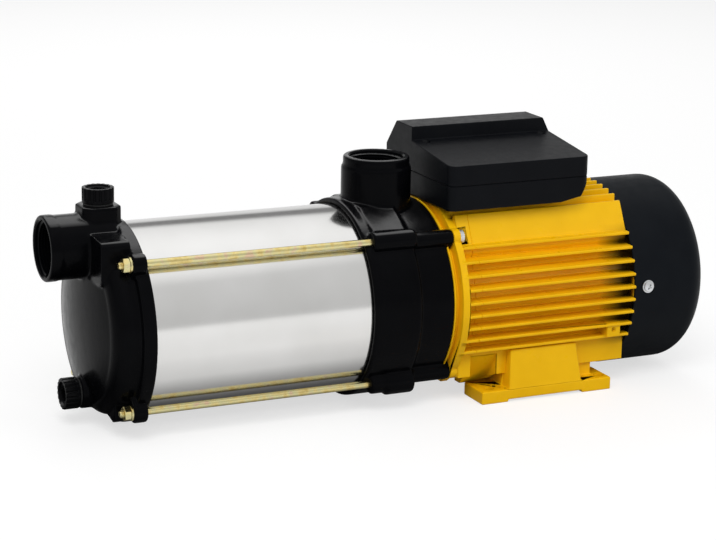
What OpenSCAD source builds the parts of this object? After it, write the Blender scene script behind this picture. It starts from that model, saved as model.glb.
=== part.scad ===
// Horizontal multistage pump, close-coupled to a foot-mounted motor.
// X runs along the shaft: suction port at -X, motor fan at +X. Z is up.
// The origin is the centre of the four foot holes, on the face the pump stands on.

/* [Frame] */
// Height of the shaft axis above the mounting face
shaft_h = 80; // [79:0.5:90]
// Spacing of the foot holes along the shaft
foot_pitch_x = 100; // [90:1:104]
// Spacing of the foot holes across the shaft
foot_pitch_y = 125; // [122:1:128]
// Diameter of the foot holes
foot_hole_d = 9; // [7:0.5:10]
// Half width of the foot across the shaft
foot_half_w = 71.4; // [70:0.1:74]

/* [Pump body] */
// Outside diameter of the stainless sleeve
sleeve_od = 147; // [140:0.5:148]
// Wall of the stainless sleeve
sleeve_wall = 2; // [1.5:0.25:2.5]
// Number of pumping stages
stage_count = 5; // [3:1:6]
// Length of one stage along the shaft
stage_len = 34; // [32:0.5:38]
// Gap between the sleeve and a tie rod
rod_gap = 2.9; // [2.5:0.1:5.5]
// Diameter of a tie rod
rod_d = 6; // [5:0.5:6]
// Radius of the cast ring that takes the suction end of the sleeve
cover_ring_r = 77.5; // [77:0.1:78.5]
// Depth of the suction cover in front of that ring
cover_depth = 19.5; // [18:0.5:26]
// Rise of the shallow dome on the suction cover
dome_rise = 7; // [4:0.5:12]
// Wall of the castings
cast_wall = 6; // [5:0.5:7]
// Radius of the discharge casing's collar
collar_r = 78; // [77.5:0.1:78.8]
// Length of that collar along the shaft
collar_len = 40; // [38:1:44]
// Length of the lantern between the collar and the motor
lantern_len = 29; // [27:1:34]
// Outside radius of the lantern, whose spigot the motor's shield carries
lantern_r = 74; // [73:0.1:74.5]

/* [Ports] */
// Bore of both pipe ports, a G 1 1/4 thread at its major diameter
port_d = 41.91; // [40:0.01:42]
// Depth of the pipe thread
port_depth = 22; // [18:1:24]
// Outside diameter of the suction port
suction_od = 50; // [49:0.5:54]
// Height of the suction port's axis above the shaft axis
suction_rise = 59.5; // [57:0.5:61]
// Reach of the suction port in front of the cover's ring
suction_reach = 52; // [48:0.5:60]
// Outside diameter of the discharge port
discharge_od = 52; // [50:0.5:56]
// Height of the discharge port's face above the shaft axis
discharge_rise = 111; // [106:0.5:125]
// Diameter of a screw plug's grip
plug_head_d = 24; // [22:0.5:25]
// Height of a screw plug's grip
plug_head_h = 11.5; // [10.5:0.5:15]
// Major diameter of a screw plug's G 3/8 thread
plug_thread_d = 16.66; // [14:0.02:17]

/* [Impellers] */
// Outside diameter of an impeller
impeller_d = 108; // [96:1:112]
// Width of the impeller's water passage
impeller_gap = 7; // [5:0.5:8]
// Number of blades in an impeller
blade_count = 6; // [5:1:8]
// Diameter of the shaft under the impellers
pump_shaft_d = 14; // [12:0.5:15]

/* [Motor] */
// Length of the finned housing
housing_len = 138; // [130:1:150]
// Radius of the stator bore in the housing
stator_r = 60; // [58:0.5:61]
// Radius of the barrel between the fins
barrel_r = 66; // [65:0.5:67]
// Radius that the tips of the side fins reach
fin_tip_r = 78.5; // [76:0.5:79]
// Spacing of the side fins
fin_pitch = 10.25; // [10:0.05:10.5]
// Thickness of a fin at its tip
fin_tip_t = 2.4; // [2:0.1:3]
// Length of the stator and rotor laminations
core_len = 80; // [60:1:90]
// Radius of the rotor laminations
rotor_r = 36.6; // [34:0.1:38]
// Radius of the fan cover
fan_cover_r = 76; // [75:0.5:79]
// Length of the fan cover
fan_cover_len = 70; // [64:1:90]
// Wall of the fan cover
fan_cover_wall = 2; // [1.5:0.25:2.25]
// Diameter of the cooling fan
fan_d = 120; // [100:1:130]
// Number of fan blades
fan_blades = 9; // [5:1:11]

/* [Terminal box] */
// Length of the box along the shaft
box_len = 123.5; // [118:0.5:126]
// Half width of the box on the visible side
box_near_w = 58; // [54:0.5:60]
// Height of the box's parting line above the shaft axis
box_split = 94; // [93:0.5:98]
// Height of the box's top above the shaft axis
box_top = 129; // [127:0.5:134]
// Wall of the box
box_wall = 2.5; // [2:0.25:3]

/* [Hidden] */
$fn = 96;
eps = 0.01;
fit_gap = 0.05;
seat_gap = 0.3;
rod_r = rod_d / 2;
corner_angles = [45, 135, 225, 315];

sleeve_r = sleeve_od / 2;
sleeve_in_r = sleeve_r - sleeve_wall;
rod_circle_r = sleeve_r + rod_gap + rod_r;
sleeve_socket = 5;
gasket_t = 1.5;

flange_back_x = -77;
flange_t = 6;
flange_front_x = flange_back_x - flange_t;
spigot_t = 5;
spigot_lip = 1.5;
lantern_x1 = flange_front_x - spigot_t;
collar_x1 = lantern_x1 - lantern_len;
collar_x0 = collar_x1 - collar_len;
collar_socket = 7;
stack_x1 = collar_x0 - 3;
stage_x0 = stack_x1 - stage_count * stage_len;
plate_t = 6;
stack_x0 = stage_x0 - plate_t;
ring_x1 = stack_x0 + sleeve_socket;
ring_w = 10.5;
ring_x0 = ring_x1 - ring_w;
cover_x = ring_x0 - cover_depth;
band_r = cover_ring_r - 6.5;
band_round = 14;
dome_r = band_r - band_round;
dome_ball_r = (dome_r * dome_r + dome_rise * dome_rise) / (2 * dome_rise);
stage_r = sleeve_in_r - seat_gap;
port_r = port_d / 2;
suction_z = shaft_h + suction_rise;
suction_x = ring_x0 - suction_reach;
suction_r = suction_od / 2;
duct_r = 19;
shoulder_w = 47;
discharge_x = collar_x1 - 5.5;
discharge_z = shaft_h + discharge_rise;
discharge_r = discharge_od / 2;
ear_r = 8;
nut_t = 5;
nut_flats = 10;
washer_t = 1.6;
ear_x0 = ring_x0 - 3;
ear_x1 = ring_x1 - 2.5;
rod_x0 = ear_x0 - washer_t - nut_t - 3;
rod_depth = 20;
lug_x0 = collar_x0 + 5;
lug_x1 = collar_x1 + 0.6;
lower_lug_x0 = lug_x0 + 12;
lower_lug_r = 10;
web_x0 = collar_x0 + 9;
web_x1 = collar_x1 - 3;
lug_root = 62;
motor_circle_r = lantern_r + 1.5;
motor_lug_r = 6.8;
flange_r = fin_tip_r + 0.3;
flange_bottom = -66;
flange_top = 72;
motor_bolt_depth = 18;

plug_thread_r = plug_thread_d / 2;
plug_hole_r = plug_thread_r + 0.07;
plug_shank = 12;
plug_seal_t = 1.5;
plug_seal_r = plug_head_d / 2 - 0.8;
plug_socket_flats = 12;
filler_x = ring_x0 - 8.5;
filler_boss_w = 30;
filler_boss_top = suction_z + 30.5;
drain_z = shaft_h - 54;
drain_boss_x = cover_x - 6;
drain_boss_r = 12.5;

shaft_r = pump_shaft_d / 2;
seal_shaft_r = shaft_r + 1;
eye_r = 24;
neck_ring_w = 2;
impeller_r = impeller_d / 2;
shroud_t = 2;
hub_r = 13;
impeller_x0 = 1.5;
hub_end = impeller_x0 + 2 * shroud_t + impeller_gap + 3.5;
guide_x0 = hub_end - 1;
guide_t = 3;
chamber_r = stage_r - 5.2;
chamber_x1 = collar_x1 + 11;
wall_x1 = chamber_x1 + 7;
seat_r = 14;
drain_slot_w = 16;

housing_x0 = -66;
housing_x1 = housing_x0 + housing_len;
panel_y = 58;
panel_top_y = 47;
panel_top = 69;
top_floor = 64;
lower_panel_y = 61;
lower_panel_z = -59;
lower_corner_len = 23;
foot_t = 10.3;
lower_corner_z = foot_t + 0.2 - shaft_h;
side_fins = 9;
first_fin = 46;
fin_root_extra = 0.5;
top_fins = 4;
top_fin_pitch = 9.4;
box_pad_top = 70;
seat_half_w = 34;
seat_x1 = 26;
wire_x0 = -40;
wire_len = 40;
wire_w = 28;
tie_bolt_r = 2.5;
tie_bolt_circle = 64.5;
core_x0 = -42;
core_x1 = core_x0 + core_len;
air_gap = 0.4;
core_shaft_r = 13;
winding_len = 17;

drive_bearing = [-73, 14, 10, 23.5, 3.95, 16.75];
rear_bearing = [68, 12, 8.5, 20, 3.4, 14.25];
balls_per_bearing = 8;
shield_hub_wall = 6;
rear_plate_x1 = housing_x1 + 6;
cover_screw_x = housing_x1 + 12;
cover_screw_angles = [3, 177, 270];
cover_lug_len = 18;
cover_x0 = housing_x1 + seat_gap;
cover_x1 = cover_x0 + fan_cover_len;
cover_round = 18;
cover_in_r = fan_cover_r - fan_cover_wall;
lug_tip_r = cover_in_r - seat_gap;
lug_root_r = lug_tip_r - 4.5;
screw_r = 1.6;
fan_x0 = housing_x1 + cover_lug_len;
fan_w = 24;
fan_shaft_r = 7;

foot_x0 = -60.2;
foot_x1 = 56.4;
foot_relief = 2;
foot_inner_y = 40;
gusset_x0 = -36.5;
gusset_x1 = 30;
gusset_top = first_fin - (side_fins - 1) * fin_pitch - fin_tip_t;
saddle_x1 = 45;
boss_floor = -barrel_r;
foot_screw_x = 22;
foot_screw_y = 13;
foot_screw_z = 2.2;
foot_screw_head_t = 3.5;

box_x0 = -87;
box_x1 = box_x0 + box_len;
box_far_w = 56;
box_floor = 74.5;
box_deck_near = 110;
box_deck_far = 118;
ridge_y0 = 9.5;
ridge_y1 = 38.5;
ridge_slope = 5.5;
base_neck = [[-68, -32], [24, 32]];
lid_screws_at = [
    [box_x0 + 10, 5], [box_x1 - 9.5, 5], [box_x0 + 10, box_far_w - 12], [box_x1 - 9.5, box_far_w - 12]];
post_r = 4.2;
block_len = 60;
block_w = 22;
block_h = 16;
block_poles = 6;
capacitor_r = 17;
capacitor_len = 80;
gland_x = -30;
gland_z = shaft_h + (box_floor + box_split) / 2;
gland_r = 8;
gland_cable_r = 4.5;

paint_black = "#17191b";
paint_yellow = "#f0b90a";
box_black = "#2b3033";
cover_black = "#1b1d1f";
steel = "#c9ccd0";
zinc_gold = "#cbb45c";
rubber_black = "#202020";
resin = "#d8d2c0";

// Moves its children so that their Z runs along the shaft, from x towards the motor
module at_shaft(x = 0) {
    translate([x, 0, shaft_h]) rotate([0, 90, 0]) children();
}

// A plain cylinder or tube on the shaft axis
module tube_x(x0, x1, outer, inner = 0) {
    at_shaft(x0) difference() {
        cylinder(h = x1 - x0, r = outer);
        if (inner > 0) translate([0, 0, -1]) cylinder(h = x1 - x0 + 2, r = inner);
    }
}

// A body turned about the shaft axis from [radius, x] points
module turned(profile) {
    at_shaft() rotate_extrude() polygon(profile);
}

// A bar of round section along the shaft, at y and at a height above the shaft axis
module bar_x(x0, x1, r, y, z, sides = 0) {
    translate([x0, y, shaft_h + z]) rotate([0, 90, 0])
        cylinder(h = x1 - x0, r = r, $fn = sides > 0 ? sides : $fn);
}

// Children drawn in the plane across the shaft, extruded from x0 to x1
module across(x0, x1) {
    translate([x0, 0, shaft_h]) rotate([90, 0, 90]) linear_extrude(x1 - x0) children();
}

// Children drawn in the XZ plane about the shaft axis, extruded from y0 to y1
module sideways(y0, y1) {
    translate([0, y1, shaft_h]) rotate([90, 0, 0]) linear_extrude(y1 - y0) children();
}

// Copies of the children at the four corners, each turned outwards
module at_corners(r) {
    for (a = corner_angles)
        translate([0, 0, shaft_h]) rotate([a, 0, 0]) translate([0, r, 0]) children();
}

// One lug round a bolt on the corner circle, joined inwards to the casting
module corner_lug(x0, x1, r, lug_r) {
    at_corners(r) {
        translate([x0, 0, 0]) rotate([0, 90, 0]) cylinder(h = x1 - x0, r = lug_r);
        translate([x0, lug_root - r, -lug_r]) cube([x1 - x0, r - lug_root, 2 * lug_r]);
    }
}

module corner_holes(x0, x1, r, hole_r) {
    at_corners(r) translate([x0, 0, 0]) rotate([0, 90, 0]) cylinder(h = x1 - x0, r = hole_r);
}

// Block that carries the suction neck over to the corner of the ring
module neck_shoulder(x0) {
    for (side = [-1, 1])
        across(x0, ring_x0 + eps) polygon([
            [side * 14, 38], [side * (shoulder_w - 3), 38], [side * shoulder_w, 42],
            [side * shoulder_w, 68], [side * (shoulder_w - 3), 71], [side * 14, 73]]);
}

// The same kind of block beside the lower tie rods
module lower_shoulder(x0) {
    for (side = [-1, 1])
        across(x0, ring_x0 + eps) polygon([
            [side * 30, -52], [side * (shoulder_w - 7), -42], [side * shoulder_w, -42],
            [side * shoulder_w, -64], [side * (shoulder_w - 5), -67], [side * 26, -64]]);
}

module suction_casing() {
    color(paint_black) difference() {
        union() {
            at_shaft() rotate_extrude() {
                translate([0, cover_x]) square([dome_r, ring_x1 - cover_x]);
                translate([0, cover_x + band_round]) square([band_r, ring_x1 - cover_x - band_round]);
                intersection() {
                    translate([dome_r, cover_x + band_round]) circle(r = band_round);
                    translate([0, cover_x]) square([band_r, band_round]);
                }
                translate([0, ring_x0]) square([cover_ring_r, ring_w]);
            }
            intersection() {
                translate([cover_x - dome_rise + dome_ball_r, 0, shaft_h]) sphere(r = dome_ball_r, $fn = 192);
                tube_x(cover_x - dome_rise - 1, cover_x + eps, dome_r);
            }
            corner_lug(ear_x0, ear_x1, rod_circle_r, ear_r);
            bar_x(suction_x, ring_x0 + eps, suction_r - 0.6, 0, suction_rise);
            bar_x(suction_x, suction_x + 9, suction_r, 0, suction_rise);
            neck_shoulder(ring_x0 - 22);
            lower_shoulder(ring_x0 - 13);
            filler_boss();
            translate([drain_boss_x, 0, drain_z]) rotate([0, 90, 0])
                cylinder(h = cover_x + band_round - drain_boss_x, r = drain_boss_r);
        }
        at_shaft() rotate_extrude() {
            translate([0, cover_x + cast_wall]) square([dome_r - 2.5, ring_x1 - cover_x]);
            translate([0, cover_x + band_round + 2]) square([band_r - cast_wall - 0.5, ring_x1 - cover_x]);
            translate([0, stack_x0]) square([sleeve_r + 0.1, ring_w]);
        }
        tube_x(stack_x0 - gasket_t, stack_x0 + eps, sleeve_r + 0.1, stage_r - 0.2);
        bar_x(suction_x - 1, suction_x + port_depth, port_r, 0, suction_rise);
        bar_x(suction_x + port_depth - eps, ring_x0 - 2, duct_r, 0, suction_rise);
        at_filler(suction_z) cylinder(h = 40, r = plug_hole_r);
        translate([drain_boss_x - 1, 0, drain_z]) rotate([0, 90, 0]) cylinder(h = 14, r = plug_hole_r);
        corner_holes(ear_x0 - 1, ring_x1 + 1, rod_circle_r, rod_r + seat_gap);
        corner_holes(rod_x0 - 40, ear_x0 + eps, rod_circle_r, nut_flats / 2 + 2.5);
    }
}

module at_filler(z) {
    translate([filler_x, 0, z]) children();
}

// Square pad with cut corners on top of the suction neck, for the filler plug
module filler_boss() {
    w = filler_boss_w / 2;
    c = 6;
    at_filler(suction_z + 8) linear_extrude(filler_boss_top - suction_z - 8) polygon([
        [-w, -w + c], [-w + c, -w], [w - c, -w], [w, -w + c],
        [w, w - c], [w - c, w], [-w + c, w], [-w, w - c]]);
}

// Screw plug, standing on its seat at z = 0: fluted grip above, thread shank below
module screw_plug() {
    flutes = 18;
    difference() {
        union() {
            translate([0, 0, plug_seal_t]) cylinder(h = plug_head_h, r = plug_head_d / 2);
            translate([0, 0, -plug_shank]) cylinder(h = plug_shank + plug_seal_t + eps, r = plug_thread_r);
        }
        for (i = [0:flutes - 1])
            rotate([0, 0, i * 360 / flutes]) translate([plug_head_d / 2 + 0.6, 0, plug_seal_t + 2.5])
                cylinder(h = plug_head_h, r = 1.3, $fn = 24);
        translate([0, 0, plug_seal_t + plug_head_h - 9])
            cylinder(h = 10, r = plug_socket_flats / sqrt(3), $fn = 6);
        translate([0, 0, plug_seal_t + plug_head_h - 2]) cylinder(h = 3, r = plug_head_d / 2 - 2.6);
    }
}

module plug_seal() {
    difference() {
        cylinder(h = plug_seal_t, r = plug_seal_r);
        translate([0, 0, -1]) cylinder(h = plug_seal_t + 2, r = plug_thread_r + fit_gap);
    }
}

module at_drain() {
    translate([drain_boss_x, 0, drain_z]) rotate([0, -90, 0]) children();
}

module filler_plug() { color(box_black) at_filler(filler_boss_top) screw_plug(); }
module filler_plug_seal() { color(rubber_black) at_filler(filler_boss_top) plug_seal(); }
module drain_plug() { color(box_black) at_drain() screw_plug(); }
module drain_plug_seal() { color(rubber_black) at_drain() plug_seal(); }

module outer_sleeve() {
    color(steel) tube_x(stack_x0, collar_x0 + collar_socket, sleeve_r, sleeve_in_r);
}

module sleeve_gaskets() {
    color(rubber_black) {
        tube_x(stack_x0 - gasket_t, stack_x0, sleeve_r, sleeve_in_r);
        tube_x(collar_x0 + collar_socket, collar_x0 + collar_socket + gasket_t, sleeve_r, sleeve_in_r);
    }
}

module tie_rods() {
    color(zinc_gold) corner_holes(rod_x0, lug_x0 + rod_depth - 2, rod_circle_r, rod_r);
}

module tie_rod_nuts() {
    color(zinc_gold) at_corners(rod_circle_r) translate([ear_x0 - washer_t - nut_t, 0, 0]) rotate([0, 90, 0])
        difference() {
            cylinder(h = nut_t, r = nut_flats / sqrt(3), $fn = 6);
            translate([0, 0, -1]) cylinder(h = nut_t + 2, r = rod_r + fit_gap);
        }
}

module tie_rod_washers() {
    color(zinc_gold) at_corners(rod_circle_r) translate([ear_x0 - washer_t, 0, 0]) rotate([0, 90, 0])
        difference() {
            cylinder(h = washer_t, r = nut_flats / 2 + 1);
            translate([0, 0, -1]) cylinder(h = washer_t + 2, r = rod_r + seat_gap);
        }
}

// Plate with the inlet eye in front of the first impeller
module inlet_plate() {
    color(resin) tube_x(stack_x0, stage_x0, stage_r, eye_r + neck_ring_w + fit_gap);
}

function stage_x(i) = stage_x0 + (i - 1) * stage_len;

// A return vane: an arc-shaped wall from the outer gap towards the next eye
module return_vane(inner, outer, t) {
    bend = outer * 0.9;
    intersection() {
        translate([0, -bend]) difference() {
            circle(r = bend + t / 2);
            circle(r = bend - t / 2);
        }
        difference() {
            circle(r = outer);
            circle(r = inner);
        }
        translate([0, -outer]) square([outer + 1, 2 * outer]);
    }
}

// Stage casing: outer wall, guide disc, return vanes and the plate with the next eye
module stage_casing(i) {
    x = stage_x(i);
    vanes = 8;
    rear_eye = i == stage_count ? 50 : eye_r + neck_ring_w + fit_gap;
    color(resin) union() {
        tube_x(x, x + stage_len, stage_r, stage_r - 2.5);
        tube_x(x + guide_x0, x + guide_x0 + guide_t, stage_r - 8, hub_r + 1);
        tube_x(x + stage_len - plate_t, x + stage_len, stage_r - eps, rear_eye);
        for (k = [0:vanes - 1])
            at_shaft(x + guide_x0 + guide_t - eps) rotate([0, 0, k * 360 / vanes])
                linear_extrude(stage_len - plate_t - guide_x0 - guide_t + 2 * eps)
                    return_vane(i == stage_count ? 52 : eye_r + 8, stage_r - 2, 2.5);
        for (k = [0:vanes - 1])
            at_shaft(x + guide_x0) rotate([0, 0, k * 360 / vanes + 10])
                translate([stage_r - 9, -1.5, 0]) cube([7.5, 3, guide_t]);
    }
}

// Closed impeller: front shroud with the eye neck, swept blades, back shroud and hub
module impeller(i) {
    x = stage_x(i) + impeller_x0;
    blade_x = x + shroud_t;
    color(resin) union() {
        tube_x(x, blade_x, impeller_r, eye_r - 2);
        tube_x(x - impeller_x0 - 4, x + eps, eye_r - 0.1, eye_r - 2);
        tube_x(blade_x + impeller_gap, blade_x + impeller_gap + shroud_t, impeller_r, hub_r - 1);
        tube_x(blade_x, stage_x(i) + hub_end, hub_r, shaft_r + fit_gap);
        for (k = [0:blade_count - 1])
            at_shaft(blade_x - eps) rotate([0, 0, k * 360 / blade_count])
                linear_extrude(impeller_gap + 2 * eps) return_vane(hub_r + 5, impeller_r - 0.5, 2);
    }
}

module neck_rings() {
    color("white") for (i = [1:stage_count])
        tube_x(stage_x(i) - 5, stage_x(i) - 1, eye_r + neck_ring_w, eye_r);
}

module impeller_spacers() {
    color(steel) {
        for (i = [1:stage_count - 1])
            tube_x(stage_x(i) + hub_end, stage_x(i + 1) + impeller_x0 + shroud_t, shaft_r + 3, shaft_r + fit_gap);
        tube_x(stage_x(stage_count) + hub_end, seal_x0, shaft_r + 3, shaft_r + fit_gap);
    }
}

nut_x1 = stage_x(1) + impeller_x0 + shroud_t;
module impeller_nut() {
    color(steel) at_shaft(nut_x1 - 8) difference() {
        cylinder(h = 8, r = 10, $fn = 6);
        translate([0, 0, -1]) cylinder(h = 10, r = shaft_r + fit_gap);
    }
}

// Sloped web from the discharge neck down to the upper corner lug
module discharge_web(side) {
    across(web_x0, web_x1) polygon([
        [side * 12, 60], [side * 12, 78], [side * 24, 76.5], [side * 52, 62], [side * 57, 55], [side * 40, 45]]);
}

module discharge_casing() {
    color(paint_black) difference() {
        union() {
            turned([
                [0, stack_x1], [stage_r - 0.2, stack_x1], [stage_r - 0.2, collar_x0], [collar_r, collar_x0],
                [collar_r, collar_x1 - 2], [lantern_r, collar_x1], [lantern_r, lantern_x1], [0, lantern_x1]]);
            corner_lug(lug_x0, lug_x1, rod_circle_r, ear_r);
            for (a = [225, 315])
                translate([lower_lug_x0, 0, shaft_h]) rotate([a, 0, 0]) translate([0, rod_circle_r, 0])
                    rotate([0, 90, 0]) cylinder(h = lug_x1 - lower_lug_x0, r = lower_lug_r);
            corner_lug(collar_x1 - 3, flange_front_x, motor_circle_r, motor_lug_r);
            translate([discharge_x, 0, shaft_h + 40]) cylinder(h = discharge_rise - 40, r = discharge_r);
            discharge_web(-1);
            discharge_web(1);
        }
        tube_x(stack_x1 - 1, chamber_x1, chamber_r);
        tube_x(collar_x0 - 4, collar_x0 + collar_socket + gasket_t, sleeve_r + 0.1, stage_r - 0.2);
        tube_x(wall_x1, flange_front_x + 1, chamber_r);
        tube_x(lantern_x1, flange_front_x + 1, lantern_r + fit_gap);
        tube_x(chamber_x1 - 1, wall_x1 + 1, seat_r);
        translate([discharge_x, 0, discharge_z - port_depth]) cylinder(h = port_depth + 1, r = port_r);
        translate([discharge_x, 0, shaft_h + 50]) cylinder(h = discharge_rise - 50 - port_depth + eps, r = duct_r);
        corner_holes(collar_x0 - 1, lug_x0 + rod_depth, rod_circle_r, rod_r + fit_gap);
        corner_holes(flange_front_x - motor_bolt_depth - 2, flange_front_x + 1, motor_circle_r, rod_r + fit_gap);
        translate([wall_x1 + 2, -drain_slot_w / 2, shaft_h - lantern_r - 1])
            cube([lantern_x1 - wall_x1 - 3, drain_slot_w, 30]);
    }
}

seal_x1 = chamber_x1 - 2 - fit_gap;
face_t = 5;
bellows_t = 14;
seal_x0 = seal_x1 - face_t - bellows_t;
module seal_seat() {
    color("#e8e4d8") tube_x(chamber_x1 - 2, wall_x1 - 1, seat_r, seal_shaft_r + 0.6);
}

module seal_face() {
    color("#35383b") tube_x(seal_x1 - face_t, seal_x1, 12, seal_shaft_r + fit_gap);
}

// Rubber bellows that drives the rotating face
module seal_bellows() {
    fold = bellows_t / 4;
    color(rubber_black) turned(concat(
        [[seal_shaft_r + fit_gap, seal_x0]],
        [for (k = [0:3]) each [[10.2, seal_x0 + k * fold], [12.2, seal_x0 + (k + 0.5) * fold]]],
        [[10.2, seal_x0 + bellows_t], [seal_shaft_r + fit_gap, seal_x0 + bellows_t]]));
}

module deflector_ring() {
    color(rubber_black) turned([
        [seal_shaft_r + fit_gap, wall_x1 + 2], [11, wall_x1 + 2], [17, wall_x1 + 5],
        [17, wall_x1 + 6.5], [11, wall_x1 + 8], [seal_shaft_r + fit_gap, wall_x1 + 8]]);
}

drive_x0 = drive_bearing[0] - drive_bearing[1] / 2;
drive_x1 = drive_bearing[0] + drive_bearing[1] / 2;
rear_x0 = rear_bearing[0] - rear_bearing[1] / 2;
rear_x1 = rear_bearing[0] + rear_bearing[1] / 2;

module shaft() {
    color(steel) turned([
        [0, nut_x1 - 11], [shaft_r - 1, nut_x1 - 11], [shaft_r, nut_x1 - 10], [shaft_r, seal_x0],
        [seal_shaft_r, seal_x0], [seal_shaft_r, drive_x0], [drive_bearing[2], drive_x0],
        [drive_bearing[2], drive_x1], [core_shaft_r, drive_x1], [core_shaft_r, rear_x0],
        [rear_bearing[2], rear_x0], [rear_bearing[2], rear_x1], [fan_shaft_r, rear_x1],
        [fan_shaft_r, fan_x0 + fan_w - 5], [fan_shaft_r - 1, fan_x0 + fan_w - 4], [0, fan_x0 + fan_w - 4]]);
}

module motor_bolts() {
    color(steel) at_corners(motor_circle_r) {
        translate([flange_front_x - motor_bolt_depth, 0, 0]) rotate([0, 90, 0])
            cylinder(h = motor_bolt_depth + flange_t + eps, r = rod_r);
        translate([flange_back_x, 0, 0]) rotate([0, 90, 0]) cylinder(h = 4, r = nut_flats / sqrt(3), $fn = 6);
    }
}

// Section of the motor housing: barrel, side panels, side fins and top fins
module motor_section() {
    circle(r = barrel_r);
    for (side = [-1, 1]) {
        polygon([
            [side * 30, 20], [side * 52, 30], [side * panel_y, 40], [side * panel_y, first_fin + 1],
            [side * panel_top_y, panel_top], [side * (panel_top_y - 2.4), panel_top],
            [side * (panel_top_y - 4), top_floor], [0, top_floor], [0, 20]]);
        polygon([
            [side * 30, -20], [side * lower_panel_y, -34], [side * lower_panel_y, lower_panel_z],
            [0, lower_panel_z], [0, -20]]);
        for (k = [0:side_fins - 1]) side_fin(side, first_fin - k * fin_pitch);
        for (k = [1:top_fins]) top_fin(side * k * top_fin_pitch);
    }
    top_fin(0);
}

// Sloped skirt under the side panels, down to the foot's pad beside the drive end
module lower_corner(x0, x1) {
    for (side = [-1, 1])
        across(x0, x1) polygon([
            [side * 34, lower_panel_z + 4], [side * lower_panel_y, lower_panel_z + 4],
            [side * lower_panel_y, lower_panel_z], [side * 42, lower_corner_z], [side * 34, lower_corner_z]]);
}

module side_fin(side, z) {
    tip = sqrt(fin_tip_r * fin_tip_r - z * z);
    t = fin_tip_t / 2;
    polygon([
        [side * 48, z - t - fin_root_extra], [side * tip, z - t],
        [side * tip, z + t], [side * 48, z + t + fin_root_extra]]);
}

module top_fin(y) {
    tip = fin_tip_r - 0.3 - y * y / 270;
    t = fin_tip_t / 2;
    polygon([
        [y - t - fin_root_extra, top_floor - 5], [y + t + fin_root_extra, top_floor - 5],
        [y + t, tip], [y - t, tip]]);
}

// Holes for the long bolts that hold both shields on the housing
module tie_bolt_holes(x0, x1, r) {
    corner_holes(x0, x1, tie_bolt_circle, r);
}

module drive_end_shield() {
    hub = drive_bearing[3] + shield_hub_wall;
    color(paint_yellow) difference() {
        union() {
            tube_x(lantern_x1, lantern_x1 + spigot_lip, lantern_r);
            tube_x(lantern_x1 + spigot_lip - eps, flange_front_x + eps, lantern_r - 4);
            across(flange_front_x, flange_back_x) intersection() {
                circle(r = flange_r);
                translate([-flange_r, flange_bottom]) square([2 * flange_r, flange_top - flange_bottom]);
            }
            corner_lug(flange_front_x, flange_back_x, motor_circle_r, motor_lug_r);
            across(flange_back_x - eps, housing_x0) motor_section();
            tube_x(housing_x0 - eps, housing_x0 + 4, stator_r - fit_gap);
        }
        tube_x(flange_back_x, housing_x0 + 5, stator_r - 4, hub);
        tube_x(drive_x1, housing_x0 + 5, hub + 1);
        tube_x(drive_x0, housing_x0 + 5, drive_bearing[3]);
        tube_x(lantern_x1 - 1, drive_x0 + eps, seal_shaft_r + 3);
        corner_holes(lantern_x1 - 1, flange_back_x + eps, motor_circle_r, rod_r + seat_gap);
        corner_holes(flange_back_x, housing_x0 - 4, motor_circle_r, 7);
        tie_bolt_holes(flange_back_x + 4, housing_x0 + 1, tie_bolt_r + fit_gap);
        box_seat_cut();
    }
}

// Room above the flat seat of the terminal box, and under the whole box
module box_seat_cut() {
    translate([flange_back_x, -seat_half_w, shaft_h + box_pad_top]) cube([seat_x1 - flange_back_x + 5, 2 * seat_half_w, 20]);
}

module stator_housing() {
    color(paint_yellow) difference() {
        union() {
            across(housing_x0, housing_x1) motor_section();
            lower_corner(housing_x0, housing_x0 + lower_corner_len);
            translate([housing_x0, -seat_half_w, shaft_h + 60]) cube([seat_x1 - housing_x0, 2 * seat_half_w, box_pad_top - 60]);
            translate([-foot_screw_x - 12, -24, shaft_h + boss_floor]) cube([2 * foot_screw_x + 24, 48, 12]);
            earth_boss();
        }
        tube_x(housing_x0 - 1, housing_x1 + 1, stator_r);
        box_seat_cut();
        sideways(-box_near_w - 1, box_far_w + 1) base_side(-seat_gap, box_top);
        translate([wire_x0, -wire_w / 2, shaft_h + 40]) cube([wire_len, wire_w, 40]);
        tie_bolt_holes(housing_x0 - 1, housing_x1 + 1, tie_bolt_r + seat_gap);
        translate([earth_x, -earth_y + 5, shaft_h + earth_z]) rotate([90, 0, 0]) cylinder(h = 20, r = 2 + fit_gap);
        for (x = [-foot_screw_x, foot_screw_x], y = [-foot_screw_y, foot_screw_y])
            translate([x, y, shaft_h + boss_floor - 1]) cylinder(h = 6, r = rod_r + fit_gap);
    }
}

// Square earth boss low on the visible side, between the last two fins
earth_x = 56;
earth_y = fin_tip_r - 5.5;
earth_z = first_fin - 7.4 * fin_pitch;
module earth_boss() {
    translate([earth_x - 6, -earth_y, shaft_h + earth_z - 6]) cube([12, 20, 12]);
}

module stator_core() {
    color("#8d9094") tube_x(core_x0, core_x1, stator_r, rotor_r + air_gap);
}

module stator_windings() {
    color("#b5713a") {
        tube_x(core_x0 - winding_len, core_x0, stator_r - 4, rotor_r + 4);
        tube_x(core_x1, core_x1 + winding_len, stator_r - 4, rotor_r + 4);
    }
}

module rotor_core() {
    color("#7c7f84") tube_x(core_x0, core_x1, rotor_r, core_shaft_r);
}

module rotor_cage() {
    color("#c4c7ca") {
        tube_x(core_x0 - 8, core_x0, rotor_r - 2, rotor_r - 14);
        tube_x(core_x1, core_x1 + 8, rotor_r - 2, rotor_r - 14);
    }
}

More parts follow.
